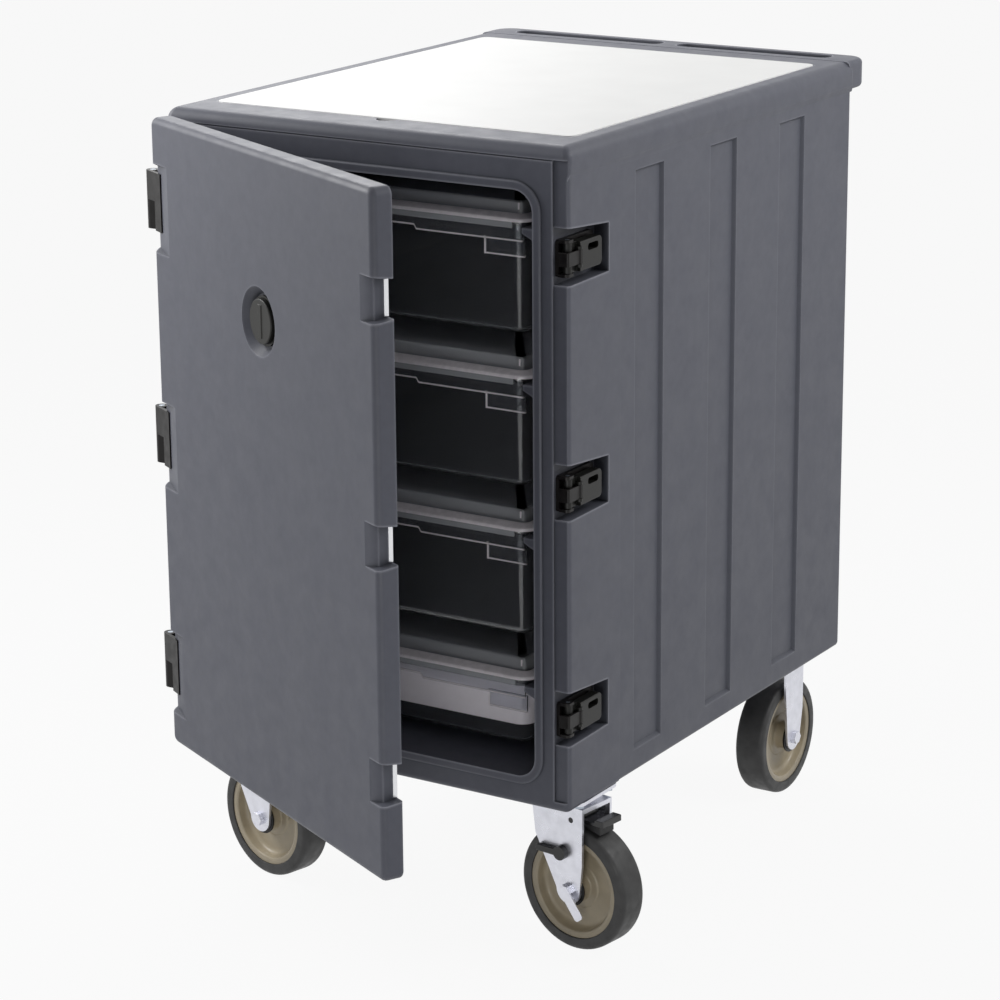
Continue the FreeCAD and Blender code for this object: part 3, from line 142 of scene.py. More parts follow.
class CartSizes(bpy.types.PropertyGroup):
    """Sizes of the visible detail."""

    skin_edge: length_setting("Skin edge", "Rounding of the moulded skins", 1.4 * MM)
    metal_edge: length_setting("Metal edge", "Rounding of pressed steel", 0.6 * MM)
    nylon_edge: length_setting("Nylon edge", "Rounding of small moulded pieces", 0.5 * MM)
    box_flange: length_setting("Box flange", "Width of a food box's rim", 12.0 * MM)
    box_rim: length_setting("Box rim", "Thickness of a food box's rim", 5.0 * MM)
    box_wall: length_setting("Box wall", "Wall of a food box", 3.5 * MM)
    box_draft: length_setting("Box draft", "Inward lean of a deep box's wall", 9.0 * MM)
    box_corner: length_setting("Box corner", "Corner radius of a food box's rim", 24.0 * MM)
    apron_wall: length_setting("Apron wall", "Thickness of the apron under a rim", 2.5 * MM)
    apron_drop: length_setting("Apron drop", "Height of the apron in the middle of a box", 20.0 * MM)
    apron_inset: length_setting("Apron inset", "Distance of the apron's end from the box's side", 10.0 * MM)
    jog_start: length_setting("Jog start", "Where the apron gets longer, from the middle", 50.0 * MM)
    jog_height: length_setting("Jog height", "How much longer the apron gets", 6.0 * MM)
    tab_start: length_setting("Tab start", "Where the corner tab starts, from the middle", 157.0 * MM)
    tab_drop: length_setting("Tab drop", "Height of the corner tab", 24.0 * MM)
    # Painted highlight: the bead along an edge is white trim that stands in for a glint.
    edge_bead: length_setting("Edge bead", "Height of the milky bead along an edge", 2.4 * MM)
    # Painted reflection: sizes of the white band on the lowest box.
    band_top: length_setting("Band top", "Distance of the band's top from the rim", 14.0 * MM)
    band_bottom: length_setting("Band bottom", "Distance of the band's bottom from the rim", 71.0 * MM)
    band_film: length_setting("Band film", "How far the frosted band stands proud", 0.3 * MM)
    # Painted highlight: the lid's shoulder and the uprights are white trim that stand in for glints.
    lid_lip: length_setting("Lid lip", "Width of a lid's milky shoulder", 13.0 * MM)
    lid_lip_rise: length_setting("Lid lip rise", "Rise of a lid's milky shoulder", 6.0 * MM)
    post_inset: length_setting("Post inset", "Distance of a milky upright from the panel's side", 9.0 * MM)
    lid_rise: length_setting("Lid rise", "Height of a lid's raised panel", 20.0 * MM)
    lid_inset: length_setting("Lid inset", "Distance of the raised panel from the lid's edge", 18.0 * MM)
    lid_lean: length_setting("Lid lean", "Inward lean of the raised panel", 4.0 * MM)
    lid_plate: length_setting("Lid plate", "Thickness of a lid", 4.0 * MM)
    turn_steps: IntProperty(name="Turn steps", description="Steps round a wheel", default=96, min=12)


class CartStage(bpy.types.PropertyGroup):
    """Camera, floor and lamps."""

    camera_place: place_setting("Camera place", "Where the camera stands", 2.392, -3.873, 1.844)
    camera_turn: angle_setting("Camera turn", "Turn about the vertical", 32.16)
    camera_tilt: angle_setting("Camera tilt", "Tilt below the horizon", 16.33)
    camera_roll: angle_setting("Camera roll", "Roll about the line of sight", -0.47)
    camera_lens: FloatProperty(name="Lens", description="Focal length", unit="CAMERA", default=117.65)
    camera_sensor: FloatProperty(name="Sensor", description="Sensor width", unit="CAMERA", default=36.0)
    floor_half: length_setting("Floor", "Half the side of the floor", 40.0)
    floor_colour: colour_setting("Floor colour", "Floor", 190, 190, 191)
    floor_glow: FloatProperty(name="Floor glow", description="Share of plain white in the seen floor",
                              subtype="FACTOR", min=0.0, max=1.0, default=0.93)
    world_level: FloatProperty(name="World", description="Level of the light from all round", default=0.2)
    world_white: FloatProperty(name="Seen world", description="White of the world where it is seen",
                               subtype="FACTOR", min=0.0, max=1.0, default=0.94)
    door_power: FloatProperty(name="Door lamp", description="Power of the lamp left of the door",
                              unit="POWER", default=21.0)
    door_place: place_setting("Door lamp place", "Where the door lamp hangs", -1.4, -0.8, 1.6)
    side_power: FloatProperty(name="Side lamp", description="Power of the lamp behind the latch side",
                              unit="POWER", default=20.0)
    side_place: place_setting("Side lamp place", "Where the side lamp hangs", 1.7, 0.5, 2.0)
    top_power: FloatProperty(name="Top lamp", description="Power of the lamp over the cart", unit="POWER",
                             default=16.0)
    top_place: place_setting("Top lamp place", "Where the top lamp hangs", -1.1, 0.9, 2.2)
    low_power: FloatProperty(name="Low lamp", description="Power of the lamp low in front of the opening",
                             unit="POWER", default=4.0)
    low_place: place_setting("Low lamp place", "Where the low lamp stands", 0.9, -2.0, 0.35)
    lamp_side: length_setting("Lamp size", "Side of each square lamp", 1.0)


# Forms

def eased(corners, radii, steps=5, closed=False):
    """Line through corners with each inner one rounded: from one radius before the corner p, at a, to
    one radius after it, at b, along (1 - w)^2 a + 2 w (1 - w) p + w^2 b."""
    line = np.asarray(corners, float)
    size = np.asarray(radii, float)
    if closed:
        line = np.concatenate([line[-1:], line, line[:1]])
    before = line[:-2] - line[1:-1]
    after = line[2:] - line[1:-1]
    before_length = np.linalg.norm(before, axis=1)
    after_length = np.linalg.norm(after, axis=1)
    start = line[1:-1] + before * (np.minimum(size, 0.45 * before_length) / before_length)[:, None]
    end = line[1:-1] + after * (np.minimum(size, 0.45 * after_length) / after_length)[:, None]
    w = np.linspace(0, 1, steps)[None, :, None]
    arcs = (1 - w) ** 2 * start[:, None] + 2 * w * (1 - w) * line[1:-1, None] + w ** 2 * end[:, None]
    arcs = arcs.reshape(-1, line.shape[1])
    return arcs if closed else np.concatenate([line[:1], arcs, line[-1:]])


def lathed(profile, centre, axis, steps):
    """Grid of a profile (radius, height) turned about an axis a with cross directions u and v:
    centre + height a + radius (u cos t + v sin t)."""
    along = np.asarray(axis, float) / np.linalg.norm(axis)
    up = np.array([0.0, 0.0, 1.0])
    across = np.cross(up, along)
    across /= np.linalg.norm(across)
    third = np.cross(along, across)
    t = np.linspace(0, 2 * np.pi, steps, endpoint=False)
    ring = np.cos(t)[:, None] * across + np.sin(t)[:, None] * third
    radius, height = profile[:, 0], profile[:, 1]
    return np.asarray(centre) + height[:, None, None] * along + radius[:, None, None] * ring


def moulded(profile, middle, half, corner, steps=9):
    """Grid of a profile (inset, height, spread) carried round a rounded rectangle: at corner centre c
    with outward direction n, the plan point is middle + spread (c + (corner - inset) n)."""
    turn = np.linspace(0, np.pi / 2, steps)
    angle = (np.arange(4)[:, None] * np.pi / 2 + turn).ravel()
    outward = np.stack([np.cos(angle), np.sin(angle)], axis=-1)
    quarter = np.array([(1, 1), (-1, 1), (-1, -1), (1, -1)])
    centres = np.repeat(quarter * (np.asarray(half) - corner), steps, axis=0)
    inset, height, spread = profile[:, 0], profile[:, 1], profile[:, 2]
    plan = centres + (corner - inset)[:, None, None] * outward
    plan = np.asarray(middle) + spread[:, None, None] * plan
    return np.concatenate([plan, np.broadcast_to(height[:, None, None], plan.shape[:2] + (1,))], axis=-1)


def capped(rings):
    """Rings of points with a point at each end, the mean of the end ring, so that the ends close."""
    first = np.broadcast_to(rings[:1].mean(axis=1, keepdims=True), rings[:1].shape)
    last = np.broadcast_to(rings[-1:].mean(axis=1, keepdims=True), rings[-1:].shape)
    return np.concatenate([first, rings, last])


def quads(rows, columns, closed_rows, first):
    """Corner numbers of a grid's faces; columns close on themselves, rows only if asked."""
    i = np.arange(rows if closed_rows else rows - 1)[:, None]
    j = np.arange(columns)[None, :]
    below, beside = (i + 1) % rows, (j + 1) % columns
    faces = np.stack([i * columns + j, i * columns + beside, below * columns + beside, below * columns + j],
                     axis=-1)
    return faces.reshape(-1, 4) + first


def surface(name, grids):
    """Mesh object of one or more closed grids, each (points, rows close, finish number), with poles and
    seams merged."""
    points, faces, finishes, first = [], [], [], 0
    for grid, closed_rows, finish in grids:
        rows, columns = grid.shape[:2]
        points.append(grid.reshape(-1, 3))
        faces.append(quads(rows, columns, closed_rows, first))
        finishes.append(np.full(len(faces[-1]), finish))
        first += rows * columns
    mesh = bpy.data.meshes.new(name)
    mesh.from_pydata(np.concatenate(points).tolist(), [], np.concatenate(faces).tolist())
    mesh.polygons.foreach_set("material_index", np.concatenate(finishes))
    finish_mesh(mesh, turn_out=True)
    return linked(name, mesh)


def finish_mesh(mesh, turn_out, flat_angle=0.0):
    """Merge doubles, drop what has no area, join flat neighbours and face outwards as asked."""
    work = bmesh.new()
    work.from_mesh(mesh)
    bmesh.ops.remove_doubles(work, verts=work.verts, dist=1e-5)
    bmesh.ops.dissolve_degenerate(work, edges=work.edges, dist=1e-6)
    if flat_angle:
        bmesh.ops.dissolve_limit(work, angle_limit=flat_angle, verts=work.verts, edges=work.edges)
    if turn_out:
        bmesh.ops.recalc_face_normals(work, faces=work.faces)
    work.to_mesh(mesh)
    work.free()
    mesh.shade_smooth()


def linked(name, mesh):
    """Object at the origin for a mesh that already has its place."""
    thing = bpy.data.objects.new(name, mesh)
    bpy.context.collection.objects.link(thing)
    return thing


def softened(node, edge):
    """Copy of a CAD node with its triangles merged to faces and its edges rounded."""
    source = frame["nodes"][node]
    mesh = source.data.copy()
    mesh.materials.clear()
    finish_mesh(mesh, turn_out=False, flat_angle=FLAT_LIMIT)
    mesh.set_sharp_from_angle(angle=SHARP_LIMIT)
    piece = linked(node + "_soft", mesh)
    bevel = piece.modifiers.new("Edges", "BEVEL")
    bevel.width = edge
    bevel.segments = 2
    bevel.limit_method = "ANGLE"
    bevel.angle_limit = SHARP_LIMIT
    bevel.use_clamp_overlap = True
    bevel.harden_normals = True
    weight = piece.modifiers.new("Even shading", "WEIGHTED_NORMAL")
    weight.keep_sharp = True
    return piece


def body_of_node(node):
    """Name of the body that carries a CAD node."""
    return next(b for b, nodes in frame["record"]["behaviour"]["bodies"].items() if node in nodes)


def joint_named(name):
    """Packed joint of that name."""
    return next(j for j in frame["joints"] if j["name"] == name)


def place_piece(piece, materials, body, slot, *nodes):
    """Give a piece its materials and body, and hide the nodes it stands for; the slot is not used."""
    for material in materials:
        piece.data.materials.append(material)
    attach(piece, body)
    if nodes:
        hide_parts(*nodes)


def dress(nodes, edge, material, slot):
    """Softened copies of CAD nodes in one material."""
    for node in nodes:
        piece = softened(node, edge)
        place_piece(piece, [material], body_of_node(node), slot, node)


def paint(nodes, material):
    """One material on CAD nodes that keep their own mesh."""
    for node in nodes:
        for spot in frame["nodes"][node].material_slots:
            spot.material = material


# Finishes

def plain_finish(name, colour, roughness, **sockets):
    """Material with one shader, its constants set on the shader's own sockets."""
    material = bpy.data.materials.new(name)
    material.use_nodes = True
    shader = material.node_tree.nodes["Principled BSDF"]
    shader.inputs["Base Color"].default_value = (*colour, 1.0)
    shader.inputs["Roughness"].default_value = roughness
    for socket, value in sockets.items():
        shader.inputs[socket.replace("_", " ")].default_value = value
    material.diffuse_color = (*colour, 1.0)
    return material


def noise_of(material, size, detail=2.0, stretch=(1.0, 1.0, 1.0)):
    """Noise on object coordinates with lumps of the given size, stretched along the axes."""
    nodes, links = material.node_tree.nodes, material.node_tree.links
    place = nodes.new("ShaderNodeTexCoord")
    mapping = nodes.new("ShaderNodeMapping")
    mapping.inputs["Scale"].default_value = [1 / (size * s) for s in stretch]
    noise = nodes.new("ShaderNodeTexNoise")
    noise.inputs["Scale"].default_value = 1.0
    noise.inputs["Detail"].default_value = detail
    links.new(place.outputs["Object"], mapping.inputs["Vector"])
    links.new(mapping.outputs["Vector"], noise.inputs["Vector"])
    return noise


def add_bumps(material, size, depth, strength, detail=2.0, stretch=(1.0, 1.0, 1.0)):
    """Bumps of the given size and depth, added to those that the material has."""
    nodes, links = material.node_tree.nodes, material.node_tree.links
    shader = nodes["Principled BSDF"]
    noise = noise_of(material, size, detail, stretch)
    bump = nodes.new("ShaderNodeBump")
    bump.inputs["Strength"].default_value = strength
    bump.inputs["Distance"].default_value = depth
    links.new(noise.outputs["Fac"], bump.inputs["Height"])
    if shader.inputs["Normal"].is_linked:
        links.new(shader.inputs["Normal"].links[0].from_socket, bump.inputs["Normal"])
    links.new(bump.outputs["Normal"], shader.inputs["Normal"])


def add_mottle(material, colour, spread, size, detail=3.0, stretch=(1.0, 1.0, 1.0)):
    """Colour that wanders a little lighter and darker."""
    nodes, links = material.node_tree.nodes, material.node_tree.links
    noise = noise_of(material, size, detail, stretch)
    ramp = nodes.new("ShaderNodeValToRGB")
    ramp.color_ramp.elements[0].position = 0.3
    ramp.color_ramp.elements[1].position = 0.7
    ramp.color_ramp.elements[0].color = (*(c * (1 - spread) for c in colour), 1.0)
    ramp.color_ramp.elements[1].color = (*(min(1.0, c * (1 + spread)) for c in colour), 1.0)
    links.new(noise.outputs["Fac"], ramp.inputs["Fac"])
    links.new(ramp.outputs["Color"], nodes["Principled BSDF"].inputs["Base Color"])


def add_sheen_change(material, low, high, size, stretch=(1.0, 1.0, 1.0)):
    """Roughness that wanders between two levels."""
    nodes, links = material.node_tree.nodes, material.node_tree.links
    noise = noise_of(material, size, 3.0, stretch)
    level = nodes.new("ShaderNodeMapRange")
    level.inputs["From Min"].default_value = 0.3
    level.inputs["From Max"].default_value = 0.7
    level.inputs["To Min"].default_value = low
    level.inputs["To Max"].default_value = high
    links.new(noise.outputs["Fac"], level.inputs["Value"])
    links.new(level.outputs["Result"], nodes["Principled BSDF"].inputs["Roughness"])


def closeness(material, reach, inside, share):
    """Share that grows from none on open flat surface to the given one where the piece's own surface
    closes in within the reach, in front of the surface or inside the material; it places painted shade and painted
    highlights."""
    closed_in, wide_open = 0.4, 0.95
    nodes, links = material.node_tree.nodes, material.node_tree.links
    near = nodes.new("ShaderNodeAmbientOcclusion")
    near.samples = 6
    near.only_local = True
    near.inside = inside
    near.inputs["Distance"].default_value = reach
    level = nodes.new("ShaderNodeMapRange")
    level.inputs["From Min"].default_value = closed_in
    level.inputs["From Max"].default_value = wide_open
    level.inputs["To Min"].default_value = share
    level.inputs["To Max"].default_value = 0.0
    links.new(near.outputs["AO"], level.inputs["Value"])
    return level.outputs["Result"]


def add_painted_light(material, share, other):
    """Second colour laid over the first one by a share that varies over the surface; here it paints shade and
    highlights.
    """
    nodes, links = material.node_tree.nodes, material.node_tree.links
    base = nodes["Principled BSDF"].inputs["Base Color"]
    mix = nodes.new("ShaderNodeMix")
    mix.data_type = "RGBA"
    links.new(share, mix.inputs["Factor"])
    links.new(base.links[0].from_socket, mix.inputs[6])
    mix.inputs[7].default_value = (*other, 1.0)
    links.new(mix.outputs[2], base)


def grey_plastic(finish):
    """Rotation-moulded polyethylene: faint orange peel, painted shade in recesses and painted highlights along
    edges.
    """
    material = plain_finish("grey_plastic", finish.grey_plastic, 0.48, Specular_IOR_Level=0.35)
    add_mottle(material, finish.grey_plastic, spread=0.04, size=12 * MM)
    # Painted shade: recesses of the skin darkened towards the recess colour.
    add_painted_light(material, closeness(material, reach=40 * MM, inside=False, share=0.8), finish.recess_shade_grey)
    # Painted highlight: edges of the skin lightened towards the edge colour.
    add_painted_light(material, closeness(material, reach=3.5 * MM, inside=True, share=0.7), finish.edge_highlight_grey)
    add_bumps(material, size=4.5 * MM, depth=0.4 * MM, strength=0.12, detail=1.0)
    add_sheen_change(material, low=0.42, high=0.54, size=30 * MM)
    return material


def board_white(finish):
    """Matte cutting board with fine knife marks both ways."""
    material = plain_finish("board_white", finish.board_white, 0.5)
    add_bumps(material, size=1.2 * MM, depth=0.2 * MM, strength=0.08, detail=2.0, stretch=(40.0, 1.0, 1.0))
    add_bumps(material, size=1.2 * MM, depth=0.2 * MM, strength=0.08, detail=2.0, stretch=(1.0, 40.0, 1.0))
    add_mottle(material, finish.board_white, spread=0.015, size=80 * MM)
    return material


def clear_plastic(finish):
    """Clear box plastic with slight waviness."""
    material = plain_finish("clear_plastic", finish.clear_tint, 0.06, IOR=1.55, Transmission_Weight=0.97)
    add_bumps(material, size=50 * MM, depth=0.6 * MM, strength=0.12, detail=1.0)
    return material


def lid_plastic(finish):
    """Clear lid plastic, its roughness wandering, with about a third of it diffuse white: a painted reflection
    that lightens the lids.
    """
    material = plain_finish("lid_plastic", finish.clear_tint, 0.1, IOR=1.55, Transmission_Weight=0.68)
    add_bumps(material, size=50 * MM, depth=0.6 * MM, strength=0.12, detail=1.0)
    add_sheen_change(material, low=0.06, high=0.2, size=20 * MM)
    return material


def painted_highlight_white(finish):
    """Painted highlight: white for the edges of boxes and lids, standing in for the light that clear plastic pipes
    along them.
    """
    material = plain_finish("painted_highlight_white", finish.painted_highlight_white, 0.22)
    add_mottle(material, finish.painted_highlight_white, spread=0.08, size=10 * MM)
    return material


def painted_reflection_plastic(finish):
    """Painted reflection: opaque white band on the lowest box, for the bright floor mirrored in its front."""
    material = plain_finish("painted_reflection_plastic", finish.painted_reflection_white, 0.4, Transmission_Weight=0.0)
    add_mottle(material, finish.painted_reflection_white, spread=0.03, size=20 * MM)
    return material


def black_nylon(finish):
    """Satin black nylon with a fine grain."""
    material = plain_finish("black_nylon", finish.nylon_black, 0.36, Specular_IOR_Level=0.25)
    add_bumps(material, size=1.2 * MM, depth=0.1 * MM, strength=0.15)
    add_sheen_change(material, low=0.30, high=0.46, size=12 * MM)
    return material


def lever_grey(finish):
    """Worn nylon of the latch levers."""
    material = plain_finish("lever_grey", finish.lever_grey, 0.4, Specular_IOR_Level=0.3)
    add_bumps(material, size=1.2 * MM, depth=0.1 * MM, strength=0.15)
    add_mottle(material, finish.lever_grey, spread=0.1, size=8 * MM)
    return material


def zinc_plate(finish):
    """Zinc-plated pressed steel with a cloudy sheen."""
    material = plain_finish("zinc_plate", finish.zinc_plate, 0.3, Metallic=0.85)
    add_mottle(material, finish.zinc_plate, spread=0.06, size=12 * MM)
    add_sheen_change(material, low=0.24, high=0.42, size=20 * MM)
    add_bumps(material, size=6 * MM, depth=0.1 * MM, strength=0.1)
    return material


def bright_steel(finish):
    """Polished keeper strip with brushing along its height."""
    material = plain_finish("bright_steel", finish.keeper_steel, 0.22, Metallic=0.8)
    add_sheen_change(material, low=0.16, high=0.3, size=0.8 * MM, stretch=(1.0, 1.0, 60.0))
    return material


def screw_steel(finish):
    """Plated screws, bolts and pins."""
    material = plain_finish("screw_steel", finish.screw_steel, 0.3, Metallic=0.9)
    add_sheen_change(material, low=0.22, high=0.4, size=4 * MM)
    return material


def wheel_beige(finish):
    """Hard beige wheel core with faint moulding swirls."""
    material = plain_finish("wheel_beige", finish.wheel_beige, 0.34)
    add_mottle(material, finish.wheel_beige, spread=0.07, size=20 * MM)
    add_sheen_change(material, low=0.28, high=0.42, size=10 * MM)
    add_bumps(material, size=8 * MM, depth=0.2 * MM, strength=0.1)
    return material


def tyre_rubber(finish):
    """Dull tyre with scuffs round its tread."""
    material = plain_finish("tyre_rubber", finish.tyre_grey, 0.55)
    add_mottle(material, finish.tyre_grey, spread=0.12, size=12 * MM)
    add_sheen_change(material, low=0.42, high=0.66, size=15 * MM)
    add_bumps(material, size=1.5 * MM, depth=0.2 * MM, strength=0.15)
    return material


def seal_rubber(finish):
    """Matte rubber."""
    material = plain_finish("seal_rubber", finish.seal_black, 0.6)
    add_bumps(material, size=2 * MM, depth=0.2 * MM, strength=0.15)
    return material


def vent_olive(finish):
    """Satin vent plastic."""
    material = plain_finish("vent_olive", finish.vent_olive, 0.42, Specular_IOR_Level=0.3)
    add_bumps(material, size=2 * MM, depth=0.2 * MM, strength=0.1)
    add_mottle(material, finish.vent_olive, spread=0.06, size=10 * MM)
    return material


def brake_black(finish):
    """Gloss black brake lever."""
    material = plain_finish("brake_black", finish.brake_black, 0.24)
    add_bumps(material, size=4 * MM, depth=0.1 * MM, strength=0.1)
    return material


def foam_cream(finish):
    """Rigid foam, which no view shows."""
    material = plain_finish("foam_cream", finish.foam_cream, 0.8)
    add_bumps(material, size=2 * MM, depth=0.5 * MM, strength=0.4)
    return material


class CartPiece:
    """Shared by the operators: settings of the scene."""

    bl_options = {"REGISTER", "UNDO"}

    @property
    def finishes(self):
        """Colours."""
        return bpy.context.scene.cart_finishes

    @property
    def sizes(self):
        """Sizes of detail."""
        return bpy.context.scene.cart_sizes


class CART_OT_skins(CartPiece, bpy.types.Operator):
    """Moulded skins of cabinet and door, the rails, and the foam inside"""

    bl_idname = "cart.skins"
    bl_label = "Skins"

    def execute(self, context):
        """Soften the skins' edges and give them orange peel."""
        dress(("cabinet_shell", "door_shell", "box_rails"), self.sizes.skin_edge,
              grey_plastic(self.finishes), "grey_polyethylene")
        paint(("cabinet_foam", "door_foam"), foam_cream(self.finishes))
        return {"FINISHED"}


class CART_OT_board(CartPiece, bpy.types.Operator):
    """White cutting board in the top"""

    bl_idname = "cart.board"
    bl_label = "Cutting board"

    def execute(self, context):
        """Soften the board and give it knife marks."""
        dress(("cutting_board",), self.sizes.metal_edge, board_white(self.finishes), "white_board")
        return {"FINISHED"}


class CART_OT_boxes(CartPiece, bpy.types.Operator):
    """Clear food boxes and their lids"""

    bl_idname = "cart.boxes"
    bl_label = "Food boxes"

    def tub(self, low, high):
        """Closed tub: outside of the floor, wall, rim, inside wall and inside floor round a rounded
        rectangle."""
        size = self.sizes
        draft = size.box_draft * (high[2] - low[2]) / DEEP_BOX
        wall = size.box_flange
        foot, rim = low[2], high[2]
        floor_edge = size.box_corner + size.box_flange - 1 * MM
        under = rim - size.box_rim
        inner = wall + size.box_wall
        inner_foot = foot + size.box_wall
        line = [(floor_edge, foot), (wall + draft, foot), (wall, under), (0, under), (0, rim), (inner, rim),
                (inner + draft, inner_foot), (floor_edge, inner_foot)]
        radii = np.array([9, 1.5, 1.2, 1.6, 1.2, 7]) * MM
        line = eased(line, radii)
        spread = np.ones((len(line), 1))
        profile = np.concatenate([line, spread], axis=1)
        ends = profile[[0, -1]].copy()
        ends[:, 2] = 0
        profile = np.concatenate([ends[:1], profile, ends[1:]])
        middle = (low[:2] + high[:2]) / 2
        half = (high[:2] - low[:2]) / 2
        return moulded(profile, middle, half, size.box_corner + size.box_flange)

    def hanging(self, x, drop, top, outer, front):
        """Grids of a lip that hangs from a rim: a wall from the top down to a lower edge that is a function
        of x, and along that edge a rounded bead in the painted highlight white."""
        size = self.sizes
        side = -1 if front else 1
        wall = np.array([0.0, 0.0, 1.0, 1.0]) * -side * size.apron_wall + outer
        low_edge = top - drop
        heights = np.stack([np.full_like(x, top), low_edge, low_edge, np.full_like(x, top)], axis=-1)
        sheet = np.stack(np.broadcast_arrays(x[:, None], wall[None, :], heights), axis=-1)
        t = np.linspace(0, 2 * np.pi, 10, endpoint=False)
        radius = size.edge_bead / 2
        across = outer - side * size.apron_wall / 2 + np.cos(t) * (size.apron_wall / 2 + 0.3 * MM)
        bead_heights = low_edge[:, None] + radius + np.sin(t) * radius
        bead = np.stack(np.broadcast_arrays(x[:, None], across[None, :], bead_heights), axis=-1)
        return [(capped(sheet), False, 0), (capped(bead), False, 1)]

    def aprons(self, low, high):
        """Lips under the rim at both ends of a box, short in the middle, and a tab under each corner."""
        size = self.sizes
        reach = (high[0] - low[0]) / 2 - size.apron_inset
        run = 5 * MM
        jog = np.linspace(size.jog_start, size.jog_start + run, 7)
        x = np.concatenate([-jog[::-1], jog, np.linspace(-reach, reach, 9)])
        x = np.unique(np.round(x, 6))
        w = np.clip((np.abs(x) - size.jog_start) / run, 0, 1)
        soft = w * w * (3 - 2 * w)
        top = high[2] - size.box_rim + 0.5 * MM
        drop = size.apron_drop - size.box_rim + size.jog_height * soft
        tab_top = top - drop.max() + size.edge_bead
        grids = []
        for front, outer in ((True, low[1]), (False, high[1])):
            grids += self.hanging(x, drop, top, outer, front)
            behind = outer + (2 * size.apron_wall if front else -2 * size.apron_wall)
            for side in (-1, 1):
                tab_x = side * np.linspace(size.tab_start, reach, 4)
                grids += self.hanging(tab_x, np.full(4, size.tab_drop), tab_top, behind, front)
                post = np.array([size.tab_start, size.tab_start + size.edge_bead]) * side
                upright = self.bar(np.sort(post), behind, tab_top - size.tab_drop, tab_top, front)
                # The upright takes the painted highlight white.
                grids.append((upright, False, 1))
        return grids

    def bar(self, x, outer, low_z, high_z, front):
        """Upright bar between two places along x: a flat ring at each of two heights."""
        depth = self.sizes.apron_wall * (1 if front else -1)
        near, far = outer - 0.2 * MM, outer + depth
        plan = np.array([(x[0], near), (x[1], near), (x[1], far), (x[0], far)])
        rings = np.stack([np.column_stack([plan, np.full(4, z)]) for z in (low_z, high_z)])
        return capped(rings)

    def lid(self, low, high):
        """Closed lid: raised panel, sloping shoulder, flat edge and the hollow under the panel."""
        size = self.sizes
        top = high[2]
        plate = top - size.lid_rise
        under = plate - size.lid_plate
        inset, lean = size.lid_inset, size.lid_lean
        wall = size.lid_plate
        middle_edge = size.box_corner + 10 * MM
        line = [(middle_edge, top), (inset + lean, top), (inset, plate), (0, plate), (0, under),
                (inset + wall, under), (inset + wall + lean, top - wall), (middle_edge, top - wall)]
        radii = np.array([3.0, 2.0, 1.2, 1.0, 1.0, 3.0]) * MM
        line = eased(line, radii)
        profile = np.concatenate([line, np.ones((len(line), 1))], axis=1)
        ends = profile[[0, -1]].copy()
        ends[:, 2] = 0
        profile = np.concatenate([ends[:1], profile, ends[1:]])
        middle = (low[:2] + high[:2]) / 2
        half = (high[:2] - low[:2]) / 2
        return moulded(profile, middle, half, size.box_corner)

    def skirt(self, low, high, front):
        """Narrow skirt at one end of a lid: a rounded bar along x."""
        size = self.sizes
        reach = (high[0] - low[0]) / 2 - size.box_corner
        top = high[2] - size.lid_rise - size.lid_plate
        outer = low[1] if front else high[1]
        inner = outer + (size.apron_wall if front else -size.apron_wall)
        corners = [(outer, top), (outer, low[2]), (inner, low[2]), (inner, top)]
        loop = eased(corners, [0.3 * MM, 0.9 * MM, 0.9 * MM, 0.3 * MM], closed=True)
        x = np.array([-reach, -reach + 1 * MM, reach - 1 * MM, reach])
        shrink = np.array([0.8, 1.0, 1.0, 0.8])
        centre = loop.mean(axis=0)
        section = centre + (loop - centre)[None] * shrink[:, None, None]
        along = np.broadcast_to(x[:, None, None], section.shape[:2] + (1,))
        return capped(np.concatenate([along, section], axis=-1))

    def lid_edge(self, low, high):
        """Shoulder round a lid in the painted highlight white: a low sloping profile carried round the lid's
        outline.
        """
        size = self.sizes
        top = high[2] - size.lid_rise
        under = top - size.lid_plate
        proud = 0.3 * MM
        crest = top + size.lid_lip_rise
        corners = [(-proud, under), (-proud, top + proud), (size.lid_lip, crest), (size.lid_lip, under)]
        loop = eased(corners, [0.6 * MM, 1.6 * MM, 1.6 * MM, 0.6 * MM], closed=True)
        profile = np.concatenate([loop, np.ones((len(loop), 1))], axis=1)
        middle = (low[:2] + high[:2]) / 2
        half = (high[:2] - low[:2]) / 2
        return moulded(profile, middle, half, size.box_corner)

    def lid_posts(self, low, high):
        """Uprights at the front and rear corners of a lid's raised panel, in the painted highlight white."""
        size = self.sizes
        reach = (high[0] - low[0]) / 2 - size.lid_inset - size.post_inset
        plate = high[2] - size.lid_rise
        top = high[2] - 2 * MM
        step = size.lid_inset + size.lid_lean / 2
        grids = []
        for front, outer in ((True, low[1] + step), (False, high[1] - step)):
            for side in (-1, 1):
                post = np.array([reach, reach + size.edge_bead]) * side
                grids.append((self.bar(np.sort(post), outer, plate, top, front), False, 1))
        return grids

    def band(self, low, high):
        """Band for a painted reflection round a tub's outside, between two heights, a film's thickness proud."""
        size = self.sizes
        rim = high[2]
        top, bottom = rim - size.band_top, rim - size.band_bottom
        draft = size.box_draft * (high[2] - low[2]) / DEEP_BOX
        span = high[2] - size.box_rim - low[2]
        lean = np.array([(rim - size.box_rim - z) / span * draft for z in (top, bottom)])
        film = size.band_film
        edge = size.box_flange + lean
        line = np.array([(edge[0] - film, top), (edge[1] - film, bottom), (edge[1] + film, bottom),
                         (edge[0] + film, top)])
        profile = np.concatenate([line, np.ones((4, 1))], axis=1)
        middle = (low[:2] + high[:2]) / 2
        half = (high[:2] - low[:2]) / 2
        return moulded(profile, middle, half, size.box_corner + size.box_flange)

